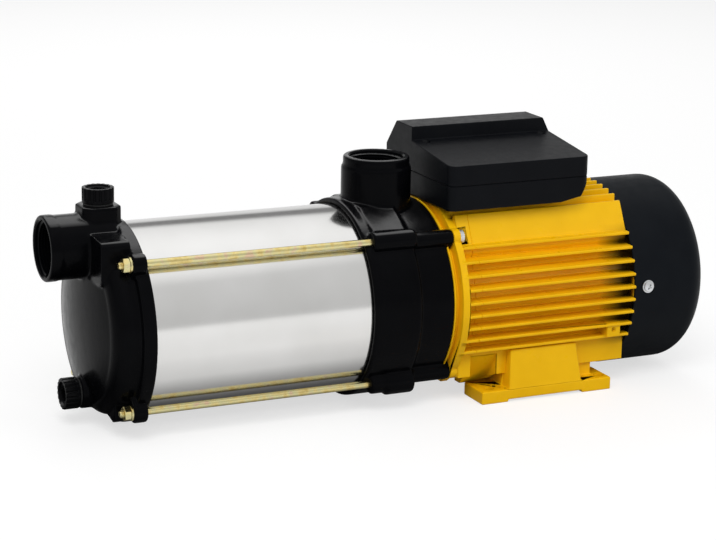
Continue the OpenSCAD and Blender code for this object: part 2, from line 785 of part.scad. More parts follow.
// Bearing parts: b = [centre x, width, bore radius, outer radius, ball radius, pitch radius]
module bearing_ring(b, r0, r1) {
    color(steel) at_shaft() rotate_extrude() difference() {
        translate([r0, b[0] - b[1] / 2]) square([r1 - r0, b[1]]);
        translate([b[5], b[0]]) circle(r = b[4] + fit_gap);
    }
}
module outer_race(b) { bearing_ring(b, b[5] + 0.7 * b[4], b[3]); }
module inner_race(b) { bearing_ring(b, b[2], b[5] - 0.7 * b[4]); }

module ball_set(b) {
    color("#dfe2e5") for (k = [0:balls_per_bearing - 1])
        at_shaft(b[0]) rotate([0, 0, k * 360 / balls_per_bearing]) translate([b[5], 0, 0]) sphere(r = b[4], $fn = 32);
    color("#b08d4c") difference() {
        tube_x(b[0] - b[4] - 1, b[0] + b[4] + 1, b[5] + 0.9, b[5] - 0.9);
        for (k = [0:balls_per_bearing - 1])
            at_shaft(b[0]) rotate([0, 90, k * 360 / balls_per_bearing]) translate([0, 0, b[5] - 3])
                cylinder(h = 6, r = b[4] + 0.1, $fn = 32);
    }
}

module preload_washer() {
    color(steel) tube_x(rear_x1, rear_x1 + 1, rear_bearing[3] - 0.2, rear_bearing[5] + 0.7 * rear_bearing[4]);
}

module rear_end_shield() {
    hub = rear_bearing[3] + shield_hub_wall;
    color(paint_yellow) difference() {
        union() {
            tube_x(housing_x1 - 8, housing_x1 + eps, stator_r - fit_gap, stator_r - 4);
            tube_x(housing_x1, rear_plate_x1, barrel_r);
            tube_x(rear_x0 - 1, rear_plate_x1, hub);
            at_cover_screws() {
                translate([housing_x1, 50, -8]) cube([rear_plate_x1 - housing_x1, lug_tip_r - 50, 16]);
                translate([housing_x1, lug_root_r, -7]) cube([cover_lug_len, lug_tip_r - lug_root_r, 14]);
            }
        }
        tube_x(rear_x0 - 2, rear_x1 + 1, rear_bearing[3]);
        tube_x(rear_x1, rear_plate_x1 + 1, fan_shaft_r + 3);
        tie_bolt_holes(housing_x1 - 1, rear_plate_x1 + 1, tie_bolt_r + seat_gap);
        cover_screw_holes(lug_root_r - 1, screw_r + fit_gap);
    }
}

// Copies of the children at the screws of the fan cover, each turned outwards
module at_cover_screws() {
    for (a = cover_screw_angles) translate([0, 0, shaft_h]) rotate([a, 0, 0]) children();
}

// Radial holes for the screws of the fan cover
module cover_screw_holes(r0, hole_r) {
    at_cover_screws() translate([cover_screw_x, r0, 0]) rotate([-90, 0, 0]) cylinder(h = 20, r = hole_r);
}

module fan_cover_screws() {
    color(steel) at_cover_screws() translate([cover_screw_x, 0, 0]) rotate([-90, 0, 0]) {
        translate([0, 0, lug_root_r]) cylinder(h = fan_cover_r - lug_root_r + 0.5, r = screw_r);
        translate([0, 0, fan_cover_r]) cylinder(h = 1.2, r = 5.2);
        translate([0, 0, fan_cover_r + 1.2 - eps]) cylinder(h = 1.8, r = 4.2);
    }
}

module through_bolts() {
    color(steel) {
        tie_bolt_holes(flange_back_x + 5, rear_plate_x1 + eps, tie_bolt_r);
        at_corners(tie_bolt_circle) translate([rear_plate_x1, 0, 0]) rotate([0, 90, 0])
            cylinder(h = 3.5, r = 4 / cos(30), $fn = 6);
    }
}

module cooling_fan() {
    hub = 13;
    color("#26292b") difference() {
        union() {
            tube_x(fan_x0, fan_x0 + fan_w - 6, hub);
            tube_x(fan_x0, fan_x0 + 2, fan_d / 2 - 8);
            for (k = [0:fan_blades - 1])
                at_shaft(fan_x0 + eps) rotate([0, 0, k * 360 / fan_blades])
                    translate([hub - 1, -1, 0]) cube([fan_d / 2 - hub + 1, 2, fan_w]);
        }
        tube_x(fan_x0 - 1, fan_x0 + fan_w, fan_shaft_r + fit_gap);
    }
}

// Turned cover shape of outer radius r between x0 and x1, with a rounded rear edge
module cover_form(r, x0, x1, round_r) {
    at_shaft() rotate_extrude() {
        translate([0, x0]) square([r, x1 - x0 - round_r]);
        translate([0, x0]) square([r - round_r, x1 - x0]);
        intersection() {
            translate([r - round_r, x1 - round_r]) circle(r = round_r);
            translate([0, x0]) square([r, x1 - x0]);
        }
    }
}

// A rounded slot in the rear of the fan cover, radial from r0 to r1
module grille_slot(r0, r1, w) {
    translate([r0, -w / 2]) square([r1 - r0, w]);
    translate([r0, 0]) circle(d = w, $fn = 24);
    translate([r1, 0]) circle(d = w, $fn = 24);
}

module fan_cover() {
    inner_slots = 12;
    outer_slots = 24;
    color(cover_black) difference() {
        cover_form(fan_cover_r, cover_x0, cover_x1, cover_round);
        cover_form(cover_in_r, cover_x0 - 1, cover_x1 - fan_cover_wall, cover_round - fan_cover_wall);
        at_shaft(cover_x1 - 5) linear_extrude(10) {
            for (k = [0:inner_slots - 1]) rotate(k * 360 / inner_slots) grille_slot(16, 27, 4);
            for (k = [0:outer_slots - 1]) rotate(k * 360 / outer_slots) grille_slot(35, 51, 4);
        }
        cover_screw_holes(cover_in_r - 3, screw_r + seat_gap);
    }
}

module motor_foot() {
    color(paint_yellow) difference() {
        union() {
            for (side = [-1, 1]) {
                translate([foot_x0, side > 0 ? foot_inner_y : -foot_half_w, 0])
                    cube([foot_x1 - foot_x0, foot_half_w - foot_inner_y, foot_t]);
                foot_gusset(side);
            }
            translate([gusset_x0, -foot_inner_y - 4, foot_relief + 2])
                cube([saddle_x1 - gusset_x0, 2 * foot_inner_y + 8, shaft_h + boss_floor - foot_relief - 2]);
            for (side = [-1, 1])
                sideways(side > 0 ? foot_inner_y : -58, side > 0 ? 58 : -foot_inner_y) polygon([
                    [gusset_x0, 4 - shaft_h], [saddle_x1, 4 - shaft_h],
                    [saddle_x1, lower_panel_z], [gusset_x0, lower_panel_z]]);
        }
        for (x = [-foot_pitch_x / 2, foot_pitch_x / 2], y = [-foot_pitch_y / 2, foot_pitch_y / 2])
            translate([x, y, -1]) cylinder(h = foot_t + 2, d = foot_hole_d);
        for (x = [-foot_screw_x, foot_screw_x], y = [-foot_screw_y, foot_screw_y]) {
            translate([x, y, 0]) cylinder(h = 40, r = rod_r + seat_gap);
            translate([x, y, 0]) cylinder(h = foot_screw_z + foot_screw_head_t, r = nut_flats / 2 + 1);
        }
        translate([gusset_x0, -foot_half_w - 1, -1]) cube([gusset_x1 - gusset_x0, 2 * foot_half_w + 2, foot_relief + 1]);
        tube_x(housing_x0, housing_x1, barrel_r + seat_gap);
    }
}

// Drafted block that rises from the pad's outer edge to the lowest fin
module foot_gusset(side) {
    top = gusset_top - seat_gap;
    intersection() {
        across(gusset_x0 - 10, gusset_x1 + 10) polygon([
            [side * 50, 4 - shaft_h], [side * foot_half_w, 4 - shaft_h], [side * foot_half_w, 9 - shaft_h],
            [side * (foot_half_w - 4), top], [side * lower_panel_y, top],
            [side * lower_panel_y, lower_panel_z], [side * 50, lower_panel_z]]);
        sideways(-foot_half_w - 1, foot_half_w + 1) polygon([
            [gusset_x0, 4 - shaft_h], [gusset_x1, 4 - shaft_h], [gusset_x1 - 5, top], [gusset_x0 + 2.5, top]]);
    }
}

module foot_screws() {
    color(steel) for (x = [-foot_screw_x, foot_screw_x], y = [-foot_screw_y, foot_screw_y])
        translate([x, y, foot_screw_z]) {
            cylinder(h = foot_screw_head_t, r = nut_flats / sqrt(3), $fn = 6);
            cylinder(h = shaft_h + boss_floor - foot_screw_z + 4.5, r = rod_r);
        }
}

// Side view of the box below its parting line, with the cut lower corner
module base_side(inset, top) {
    polygon([
        [box_x0 + inset, top], [box_x0 + inset, box_floor + inset],
        [box_x1 - 25, box_floor + inset], [box_x1 - 7 - inset, box_floor + 3.5 + inset],
        [box_x1 - inset, box_split - 4], [box_x1 - inset, top]]);
}

module terminal_box_base() {
    color(cover_black) difference() {
        union() {
            difference() {
                union() {
                    sideways(-box_near_w, box_far_w) base_side(0, box_split);
                    translate([base_neck[0].x, base_neck[0].y, shaft_h + box_pad_top]) cube([
                        base_neck[1].x - base_neck[0].x, base_neck[1].y - base_neck[0].y,
                        box_floor - box_pad_top + 2]);
                }
                sideways(-box_near_w + box_wall, box_far_w - box_wall) base_side(box_wall, box_split + 1);
                translate([wire_x0, -wire_w / 2, shaft_h + 60]) cube([wire_len, wire_w, 40]);
                translate([gland_x, 40, gland_z]) rotate([-90, 0, 0]) cylinder(h = 30, r = gland_r + fit_gap);
            }
            intersection() {
                for (p = lid_screws_at)
                    translate([p.x, p.y, shaft_h + box_floor]) cylinder(h = box_split - box_floor, r = post_r);
                sideways(-box_near_w, box_far_w) base_side(1, box_split);
            }
        }
        for (p = lid_screws_at)
            translate([p.x, p.y, shaft_h + box_floor + 5]) cylinder(h = 40, r = screw_r + fit_gap);
    }
}

// End view of the lid: sloped deck on the near side, raised ridge behind it
module lid_end(inset) {
    polygon([
        [-box_near_w + inset, box_split], [-box_near_w + inset, box_deck_near - inset],
        [ridge_y0 + inset, box_deck_far - inset], [ridge_y0 + inset, box_top - inset],
        [ridge_y1 - inset / 2, box_top - inset], [box_far_w - inset, box_deck_near - 2 - inset],
        [box_far_w - inset, box_split]]);
}

module lid_side(inset) {
    polygon([
        [box_x0 + inset, box_split - 1], [box_x1 - inset, box_split - 1], [box_x1 - inset, box_deck_far - inset],
        [box_x1 - ridge_slope - inset, box_top - inset], [box_x0 + inset, box_top - inset]]);
}

module terminal_box_lid() {
    color(box_black) difference() {
        union() {
            difference() {
                intersection() {
                    across(box_x0, box_x1) lid_end(0);
                    sideways(-box_near_w, box_far_w) lid_side(0);
                }
                intersection() {
                    across(box_x0 + box_wall, box_x1 - box_wall) translate([0, -eps]) lid_end(box_wall);
                    sideways(-box_near_w, box_far_w) lid_side(box_wall);
                }
            }
            intersection() {
                for (p = lid_screws_at) translate([p.x, p.y, shaft_h + box_split]) cylinder(h = 40, r = post_r);
                across(box_x0, box_x1) lid_end(1);
                sideways(-box_near_w, box_far_w) lid_side(1);
            }
        }
        for (p = lid_screws_at) {
            translate([p.x, p.y, shaft_h + box_split - 1]) cylinder(h = 60, r = screw_r + seat_gap);
            translate([p.x, p.y, shaft_h + screw_seat(p)]) cylinder(h = 60, r = 3.6);
        }
    }
}

// Seat height of a lid screw: two screws enter through the deck, two through the ridge
function screw_seat(p) = p.y < ridge_y0 ? box_deck_far - 5 : box_top - 12;

module lid_screws() {
    color(steel) for (p = lid_screws_at) translate([p.x, p.y, shaft_h]) {
        translate([0, 0, box_floor + 6]) cylinder(h = screw_seat(p) - box_floor - 6 + eps, r = screw_r);
        translate([0, 0, screw_seat(p)]) cylinder(h = 2.2, r = 3.2);
    }
}

module terminal_block() {
    color(resin) translate([box_x0 + 32, -box_near_w + 10, shaft_h + box_floor + box_wall]) difference() {
        cube([block_len, block_w, block_h]);
        for (k = [0:block_poles - 1])
            translate([(k + 0.5) * block_len / block_poles, block_w / 2, block_h / 2]) cylinder(h = block_h, r = 3);
    }
}

module capacitor() {
    color("#d9dadb") {
        bar_x(box_x0 + 15, box_x0 + 15 + capacitor_len, capacitor_r, 23, box_floor + box_wall + capacitor_r + 0.2);
        bar_x(box_x0 + 15 + capacitor_len, box_x0 + 21 + capacitor_len, 9, 23,
              box_floor + box_wall + capacitor_r + 0.2);
    }
}

module cable_gland() {
    color(cover_black) translate([gland_x, box_far_w, gland_z]) rotate([-90, 0, 0]) difference() {
        union() {
            translate([0, 0, -box_wall - 1]) cylinder(h = box_wall + 2, r = gland_r);
            cylinder(h = 6, r = 19 / sqrt(3), $fn = 6);
            translate([0, 0, 6 - eps]) cylinder(h = 10, r = 9);
        }
        translate([0, 0, -10]) cylinder(h = 40, r = gland_cable_r);
    }
}

suction_casing();
filler_plug();
filler_plug_seal();
drain_plug();
drain_plug_seal();
outer_sleeve();
sleeve_gaskets();
tie_rods();
tie_rod_nuts();
tie_rod_washers();
inlet_plate();
for (i = [1:stage_count]) {
    stage_casing(i);
    impeller(i);
}
neck_rings();
impeller_spacers();
impeller_nut();
discharge_casing();
seal_seat();
seal_face();
seal_bellows();
deflector_ring();
shaft();
motor_bolts();
drive_end_shield();
outer_race(drive_bearing);  // drive_bearing_outer
inner_race(drive_bearing);  // drive_bearing_inner
ball_set(drive_bearing);  // drive_bearing_balls
outer_race(rear_bearing);  // rear_bearing_outer
inner_race(rear_bearing);  // rear_bearing_inner
ball_set(rear_bearing);  // rear_bearing_balls
preload_washer();
stator_housing();
stator_core();
stator_windings();
rotor_core();
rotor_cage();
rear_end_shield();
through_bolts();
cooling_fan();
fan_cover();
fan_cover_screws();
motor_foot();
foot_screws();
terminal_box_base();
terminal_box_lid();
lid_screws();
terminal_block();
capacitor();
cable_gland();
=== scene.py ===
import math

import bmesh
import bpy
from mathutils import Matrix, Vector


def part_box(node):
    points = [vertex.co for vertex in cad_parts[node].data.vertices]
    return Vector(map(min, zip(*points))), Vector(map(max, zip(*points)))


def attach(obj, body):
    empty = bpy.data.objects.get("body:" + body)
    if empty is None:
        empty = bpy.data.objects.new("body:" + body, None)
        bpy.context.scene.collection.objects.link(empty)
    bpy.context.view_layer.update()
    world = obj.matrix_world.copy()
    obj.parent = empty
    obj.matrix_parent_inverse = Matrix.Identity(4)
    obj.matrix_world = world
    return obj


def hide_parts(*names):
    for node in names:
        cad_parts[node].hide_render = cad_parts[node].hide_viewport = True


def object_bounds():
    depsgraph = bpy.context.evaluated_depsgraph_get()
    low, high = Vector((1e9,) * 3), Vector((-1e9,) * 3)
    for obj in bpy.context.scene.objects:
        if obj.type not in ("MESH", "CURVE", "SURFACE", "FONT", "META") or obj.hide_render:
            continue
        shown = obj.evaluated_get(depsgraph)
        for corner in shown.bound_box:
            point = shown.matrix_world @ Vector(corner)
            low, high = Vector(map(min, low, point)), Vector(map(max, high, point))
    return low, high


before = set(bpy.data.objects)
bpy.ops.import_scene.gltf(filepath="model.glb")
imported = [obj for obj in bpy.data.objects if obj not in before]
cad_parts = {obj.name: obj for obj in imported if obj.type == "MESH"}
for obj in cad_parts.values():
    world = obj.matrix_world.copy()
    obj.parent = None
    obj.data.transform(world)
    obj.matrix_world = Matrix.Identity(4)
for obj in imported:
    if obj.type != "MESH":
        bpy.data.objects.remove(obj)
cadLow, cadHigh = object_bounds()
print("frame loaded:", len(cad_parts), "nodes")

# Lengths below are in millimetres and are turned into metres when a piece is made
mm = 0.001
slotOf = {name: node.data.materials[0].name for name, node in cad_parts.items()}
finishes = {}


def nodeBox(name):
    low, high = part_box(name)
    return low / mm, high / mm


sleeveLow, sleeveHigh = nodeBox("outer_sleeve")
shaftZ = (sleeveLow.z + sleeveHigh.z) / 2
corners = (45, 135, 225, 315)


# Shader nodes. A tree is a dictionary with nodes and links; a value is a number or another node's output.

def emptyTree(owner):
    owner.use_nodes = True
    owner.node_tree.nodes.clear()
    return {"nodes": owner.node_tree.nodes, "links": owner.node_tree.links}


def feed(m, socket, value):
    if isinstance(value, bpy.types.NodeSocket):
        m["links"].new(value, socket)
    else:
        socket.default_value = value


def maths(m, operation, *values):
    node = m["nodes"].new("ShaderNodeMath")
    node.operation = operation
    for socket, value in zip(node.inputs, values):
        feed(m, socket, value)
    return node.outputs[0]


def mixed(m, factor, first, second):
    node = m["nodes"].new("ShaderNodeMix")
    for name, value in (("Factor", factor), ("A", first), ("B", second)):
        feed(m, node.inputs[name], value)
    return node.outputs[0]


def axes(m, vector):
    split = m["nodes"].new("ShaderNodeSeparateXYZ")
    m["links"].new(vector, split.inputs[0])
    return split.outputs


def between(m, value, low, high, fromLow=0.3, fromHigh=0.7):
    node = m["nodes"].new("ShaderNodeMapRange")
    node.inputs["From Min"].default_value = fromLow
    node.inputs["From Max"].default_value = fromHigh
    feed(m, node.inputs["To Min"], low)
    feed(m, node.inputs["To Max"], high)
    m["links"].new(value, node.inputs["Value"])
    return node.outputs[0]


# A colour ramp with steps of (position, colour)
def ramp(m, value, steps):
    node = m["nodes"].new("ShaderNodeValToRGB")
    elements = node.color_ramp.elements
    elements[0].position, elements[1].position = steps[0][0], steps[-1][0]
    for position, _ in steps[1:-1]:
        elements.new(position)
    for element, (_, colour) in zip(elements, steps):
        element.color = (*colour, 1)
    m["links"].new(value, node.inputs[0])
    return node.outputs[0]


# Camera, floor and light

camera = {"place": (-875.0, -1571.4, 550.8), "turn": 25.176, "dip": 14.571, "roll": 1.071,
          "focalPixels": 2281.1, "frameWidth": 716, "sensor": 36}


def makeCamera():
    data = bpy.data.cameras.new("camera")
    data.sensor_width = camera["sensor"]
    data.lens = camera["focalPixels"] / camera["frameWidth"] * camera["sensor"]
    data.clip_end = 100
    eye = bpy.data.objects.new("camera", data)
    bpy.context.scene.collection.objects.link(eye)
    turn = Matrix.Rotation(math.radians(-camera["turn"]), 4, "Z")
    dip = Matrix.Rotation(math.radians(90 - camera["dip"]), 4, "X")
    roll = Matrix.Rotation(math.radians(camera["roll"]), 4, "Z")
    eye.matrix_world = Matrix.Translation(Vector(camera["place"]) * mm) @ turn @ dip @ roll
    bpy.context.scene.camera = eye


# Painted shadow: what shiny surfaces see of the floor is darkened under the pump, standing in for its shadow
# there. The shade is given as distance from the shaft's line and the share left; past the two ends, measured
# from the middle, all of it comes back.
floor = {"radius": 40, "grey": 0.42, "glow": 0.64, "middle": -0.12, "ends": (0.28, 0.4),
         "shade": [(0.0, 0.02), (0.04, 0.12), (0.07, 0.5), (0.09, 0.78), (0.16, 1.0)]}
lamps = [
    {"name": "keyLamp", "place": (-0.9, -1.3, 1.7), "power": 23, "size": 1.3},
    {"name": "fillLamp", "place": (1.2, -1.6, 0.9), "power": 8, "size": 1.2},
    {"name": "rearLamp", "place": (0.5, 1.8, 1.4), "power": 9, "size": 1.2},
]
sky = {"light": 0.6, "turn": 0.15,
       "near": [(0.0, 0.84), (0.35, 0.9), (0.72, 0.95), (0.86, 1.35), (1.0, 1.5)],
       "far": [(0.0, 1.0), (0.14, 1.05), (0.27, 0.95), (0.34, 0.3), (0.5, 0.3), (0.6, 1.2), (1.0, 1.55)]}


def paintedFloorShadow(m):
    place = axes(m, m["nodes"].new("ShaderNodeTexCoord").outputs["Object"])
    steps = [(position, (level,) * 3) for position, level in floor["shade"]]
    shade = ramp(m, maths(m, "ABSOLUTE", place["Y"]), steps)
    along = maths(m, "ABSOLUTE", maths(m, "SUBTRACT", place["X"], floor["middle"]))
    return maths(m, "MAXIMUM", shade, between(m, along, 0, 1, *floor["ends"]))


def makeStage():
    bm = bmesh.new()
    bmesh.ops.create_circle(bm, cap_ends=True, radius=floor["radius"], segments=64)
    mesh = bpy.data.meshes.new("floor")
    bm.to_mesh(mesh)
    bm.free()
    ground = bpy.data.objects.new("floor", mesh)
    bpy.context.scene.collection.objects.link(ground)
    material = bpy.data.materials.new("paleFloor")
    m = emptyTree(material)
    rays = m["nodes"].new("ShaderNodeLightPath").outputs
    # Painted shadow under the pump, only in what glossy rays see of the floor
    share = paintedFloorShadow(m)
    matt = m["nodes"].new("ShaderNodeBsdfDiffuse")
    grey = mixed(m, rays["Is Glossy Ray"], floor["grey"], maths(m, "MULTIPLY", share, floor["grey"]))
    m["links"].new(grey, matt.inputs["Color"])
    glow = m["nodes"].new("ShaderNodeEmission")
    seen = maths(m, "MAXIMUM", rays["Is Camera Ray"], maths(m, "MULTIPLY", rays["Is Glossy Ray"], share))
    m["links"].new(maths(m, "MULTIPLY", seen, floor["glow"]), glow.inputs["Strength"])
    both = m["nodes"].new("ShaderNodeAddShader")
    m["links"].new(matt.outputs[0], both.inputs[0])
    m["links"].new(glow.outputs[0], both.inputs[1])
    m["links"].new(both.outputs[0], m["nodes"].new("ShaderNodeOutputMaterial").inputs["Surface"])
    mesh.materials.append(material)


def makeLamps():
    aim = Vector(((cadLow.x + cadHigh.x) / 2, 0, 0.1))
    for s in lamps:
        data = bpy.data.lights.new(s["name"], "AREA")
        data.energy = s["power"]
        data.shape = "DISK"
        data.size = s["size"]
        lamp = bpy.data.objects.new(s["name"], data)
        bpy.context.scene.collection.objects.link(lamp)
        lamp.location = s["place"]
        lamp.visible_glossy = False
        lamp.rotation_euler = (aim - lamp.location).to_track_quat("-Z", "Y").to_euler()


# The world is white to the camera, even to matt surfaces, and a soft studio to glossy ones. Each side is
# given as height of the direction, from 0 level to 1 upright, and brightness; they meet within the turn.
def makeSky():
    world = bpy.data.worlds.new("studio")
    bpy.context.scene.world = world
    m = emptyTree(world)
    direction = axes(m, m["nodes"].new("ShaderNodeTexCoord").outputs["Generated"])
    sides = []
    for side in ("near", "far"):
        top = max(level for _, level in sky[side])
        steps = [(position, (level / top,) * 3) for position, level in sky[side]]
        sides.append(maths(m, "MULTIPLY", ramp(m, direction["Z"], steps), top))
    studio = mixed(m, between(m, direction["Y"], 0, 1, -sky["turn"], sky["turn"]), *sides)
    rays = m["nodes"].new("ShaderNodeLightPath").outputs
    glossy = maths(m, "MAXIMUM", rays["Is Glossy Ray"], rays["Is Transmission Ray"])
    whole = mixed(m, rays["Is Camera Ray"], mixed(m, glossy, sky["light"], studio), 1)
    background = m["nodes"].new("ShaderNodeBackground")
    m["links"].new(whole, background.inputs["Strength"])
    m["links"].new(background.outputs[0], m["nodes"].new("ShaderNodeOutputWorld").inputs["Surface"])


makeCamera()
makeStage()
makeLamps()
makeSky()
bpy.context.scene.view_settings.view_transform = "Standard"
print("camera, floor and light made")


# Materials. Every pattern reads Object coordinates, in metres.

def newMaterial(name):
    material = bpy.data.materials.new(name)
    material.use_nodes = True
    nodes, links = material.node_tree.nodes, material.node_tree.links
    place = nodes.new("ShaderNodeTexCoord").outputs["Object"]
    finishes[name] = material
    return {"nodes": nodes, "links": links, "shader": nodes["Principled BSDF"], "place": place, "bump": None}


def stretched(m, stretch):
    mapping = m["nodes"].new("ShaderNodeMapping")
    mapping.inputs["Scale"].default_value = stretch
    m["links"].new(m["place"], mapping.inputs["Vector"])
    return mapping.outputs[0]


# A noise whose features are about size millimetres across
def noise(m, size, detail=2, stretch=(1, 1, 1)):
    node = m["nodes"].new("ShaderNodeTexNoise")
    node.inputs["Scale"].default_value = 1 / (size * mm)
    node.inputs["Detail"].default_value = detail
    m["links"].new(stretched(m, stretch), node.inputs["Vector"])
    return node.outputs["Fac"]


def grain(m, size):
    node = m["nodes"].new("ShaderNodeTexVoronoi")
    node.inputs["Scale"].default_value = 1 / (size * mm)
    m["links"].new(m["place"], node.inputs["Vector"])
    return node.outputs["Distance"]


# Bands across X; the texture's own period is 0.314
def bands(m, size, period=0.314):
    node = m["nodes"].new("ShaderNodeTexWave")
    node.inputs["Scale"].default_value = period / (size * mm)
    m["links"].new(m["place"], node.inputs["Vector"])
    return node.outputs["Fac"]


def colourBetween(m, value, colours, fromLow=0.3, fromHigh=0.7):
    step = (fromHigh - fromLow) / (len(colours) - 1)
    return ramp(m, value, [(fromLow + step * i, colour) for i, colour in enumerate(colours)])


def bump(m, value, height):
    node = m["nodes"].new("ShaderNodeBump")
    node.inputs["Distance"].default_value = height * mm
    m["links"].new(value, node.inputs["Height"])
    if m["bump"]:
        m["links"].new(m["bump"], node.inputs["Normal"])
    m["bump"] = node.outputs[0]


# Painted highlight: surfaces that face up get a higher specular level, standing in for the top light; the
# range is of the normal's Z
def paintedTopHighlight(m, low, high, faces=(0.76, 0.86)):
    normal = axes(m, m["nodes"].new("ShaderNodeNewGeometry").outputs["Normal"])
    return between(m, normal["Z"], low, high, *faces)


def close(m, colour, roughness, **values):
    shader, links = m["shader"], m["links"]
    links.new(colour, shader.inputs["Base Color"])
    links.new(roughness, shader.inputs["Roughness"])
    if m["bump"]:
        links.new(m["bump"], shader.inputs["Normal"])
    for name, value in values.items():
        feed(m, shader.inputs[name], value)


# The sheen, where a finish has one, is a painted highlight on the surfaces that face up
def specularOf(m, s):
    return paintedTopHighlight(m, s["specular"], s["paintedSheen"]) if "paintedSheen" in s else s.get("specular", 0.5)


# Enamel over a casting: soft waves of the sand mould, orange peel of the spray, a few dull patches. The sheen
# is a painted highlight on up-facing surfaces, and the rear shade is painted shade between the fins
enamels = {
    "black_enamel": {"colours": [(0.0014, 0.0015, 0.0020), (0.0024, 0.0025, 0.0032)],
                     "wave": 0.10, "peel": 0.016, "gloss": (0.16, 0.27), "specular": 0.04, "paintedSheen": 1.0},
    "yellow_enamel": {"colours": [(0.88, 0.485, 0.003), (0.95, 0.54, 0.005)], "wave": 0.05, "peel": 0.012,
                      "gloss": (0.26, 0.38), "specular": 0.16, "rearShade": 0.07, "shadeLength": (26, 5),
                      "shadeRadius": (70.5, 76.5)},
}


# Painted shade: deep between the fins the colour is darkened towards the fan cover, standing in for the
# shadow there; the fins' edges keep their colour
def paintedRearShade(m, colour, s):
    rear = nodeBox("stator_housing")[1].x
    along = between(m, axes(m, m["place"])["X"], 0, 1, *[(rear - length) * mm for length in s["shadeLength"]])
    across = m["nodes"].new("ShaderNodeMapping")
    across.inputs["Scale"].default_value = (0, 1, 1)
    across.inputs["Location"].default_value = (0, 0, -shaftZ * mm)
    m["links"].new(m["place"], across.inputs["Vector"])
    reach = m["nodes"].new("ShaderNodeVectorMath")
    reach.operation = "LENGTH"
    m["links"].new(across.outputs[0], reach.inputs[0])
    deep = between(m, reach.outputs["Value"], 1, 0, *[radius * mm for radius in s["shadeRadius"]])
    darker = m["nodes"].new("ShaderNodeVectorMath")
    darker.operation = "SCALE"
    m["links"].new(colour, darker.inputs[0])
    share = between(m, maths(m, "MULTIPLY", along, deep), 1, s["rearShade"], 0, 1)
    m["links"].new(share, darker.inputs["Scale"])
    return darker.outputs[0]


def makeEnamel(name, s):
    m = newMaterial(name)
    colour = colourBetween(m, noise(m, 28, 3), s["colours"])
    # Painted shade deep between the fins towards the fan cover
    if "rearShade" in s:
        colour = paintedRearShade(m, colour, s)
    roughness = between(m, noise(m, 9, 3), *s["gloss"])
    bump(m, noise(m, 11, 2), s["wave"])
    bump(m, noise(m, 1.6, 1), s["peel"])
    bump(m, noise(m, 0.5, 1), s["peel"] * 0.25)
    close(m, colour, roughness, **{"IOR": 1.45, "Specular IOR Level": specularOf(m, s)})


# Metals: two to four tones, a direction for the drawn or turned lines, and their depth
metals = {
    "stainless": {"colours": [(0.70, 0.695, 0.68), (0.76, 0.755, 0.745)], "line": 0.35,
                  "stretch": (1, 0.02, 0.02), "gloss": (0.12, 0.17), "depth": 0.0006, "patch": 60},
    "gold_zinc": {"colours": [(0.62, 0.47, 0.16), (0.74, 0.61, 0.27), (0.66, 0.62, 0.33), (0.70, 0.50, 0.33)],
                  "line": 0.5, "stretch": (0.03, 1, 1), "gloss": (0.2, 0.34), "depth": 0.004, "patch": 7},
    "bright_zinc": {"colours": [(0.52, 0.54, 0.56), (0.66, 0.67, 0.67), (0.60, 0.62, 0.66)],
                    "line": 0.6, "stretch": (1, 1, 1), "gloss": (0.24, 0.4), "depth": 0.004, "patch": 4},
    "bearing_steel": {"colours": [(0.50, 0.50, 0.50), (0.60, 0.60, 0.60)], "line": 0.25,
                      "stretch": (1, 0.02, 0.02), "gloss": (0.1, 0.2), "depth": 0.001, "patch": 12},
    "cast_aluminium": {"colours": [(0.52, 0.53, 0.54), (0.64, 0.64, 0.64)], "line": 1.2, "stretch": (1, 1, 1),
                       "gloss": (0.4, 0.6), "depth": 0.03, "patch": 8},
    "copper": {"colours": [(0.50, 0.17, 0.06), (0.72, 0.30, 0.12)], "line": 0.8, "stretch": (0.6, 0.15, 0.15),
               "gloss": (0.25, 0.4), "depth": 0.15, "patch": 5},
    "can_plastic": {"colours": [(0.66, 0.67, 0.68), (0.74, 0.75, 0.76)], "line": 0.5,
                    "stretch": (1, 0.05, 0.05), "gloss": (0.3, 0.4), "depth": 0.003, "patch": 15},
}


def makeMetal(name, s):
    m = newMaterial(name)
    colour = colourBetween(m, noise(m, s["patch"], 3), s["colours"])
    lines = noise(m, s["line"], 2, s["stretch"])
    roughness = between(m, lines, *s["gloss"])
    bump(m, lines, s["depth"])
    bump(m, noise(m, s["patch"] * 0.5, 1), s["depth"] * 0.6)
    close(m, colour, roughness, **{"Metallic": 1.0})
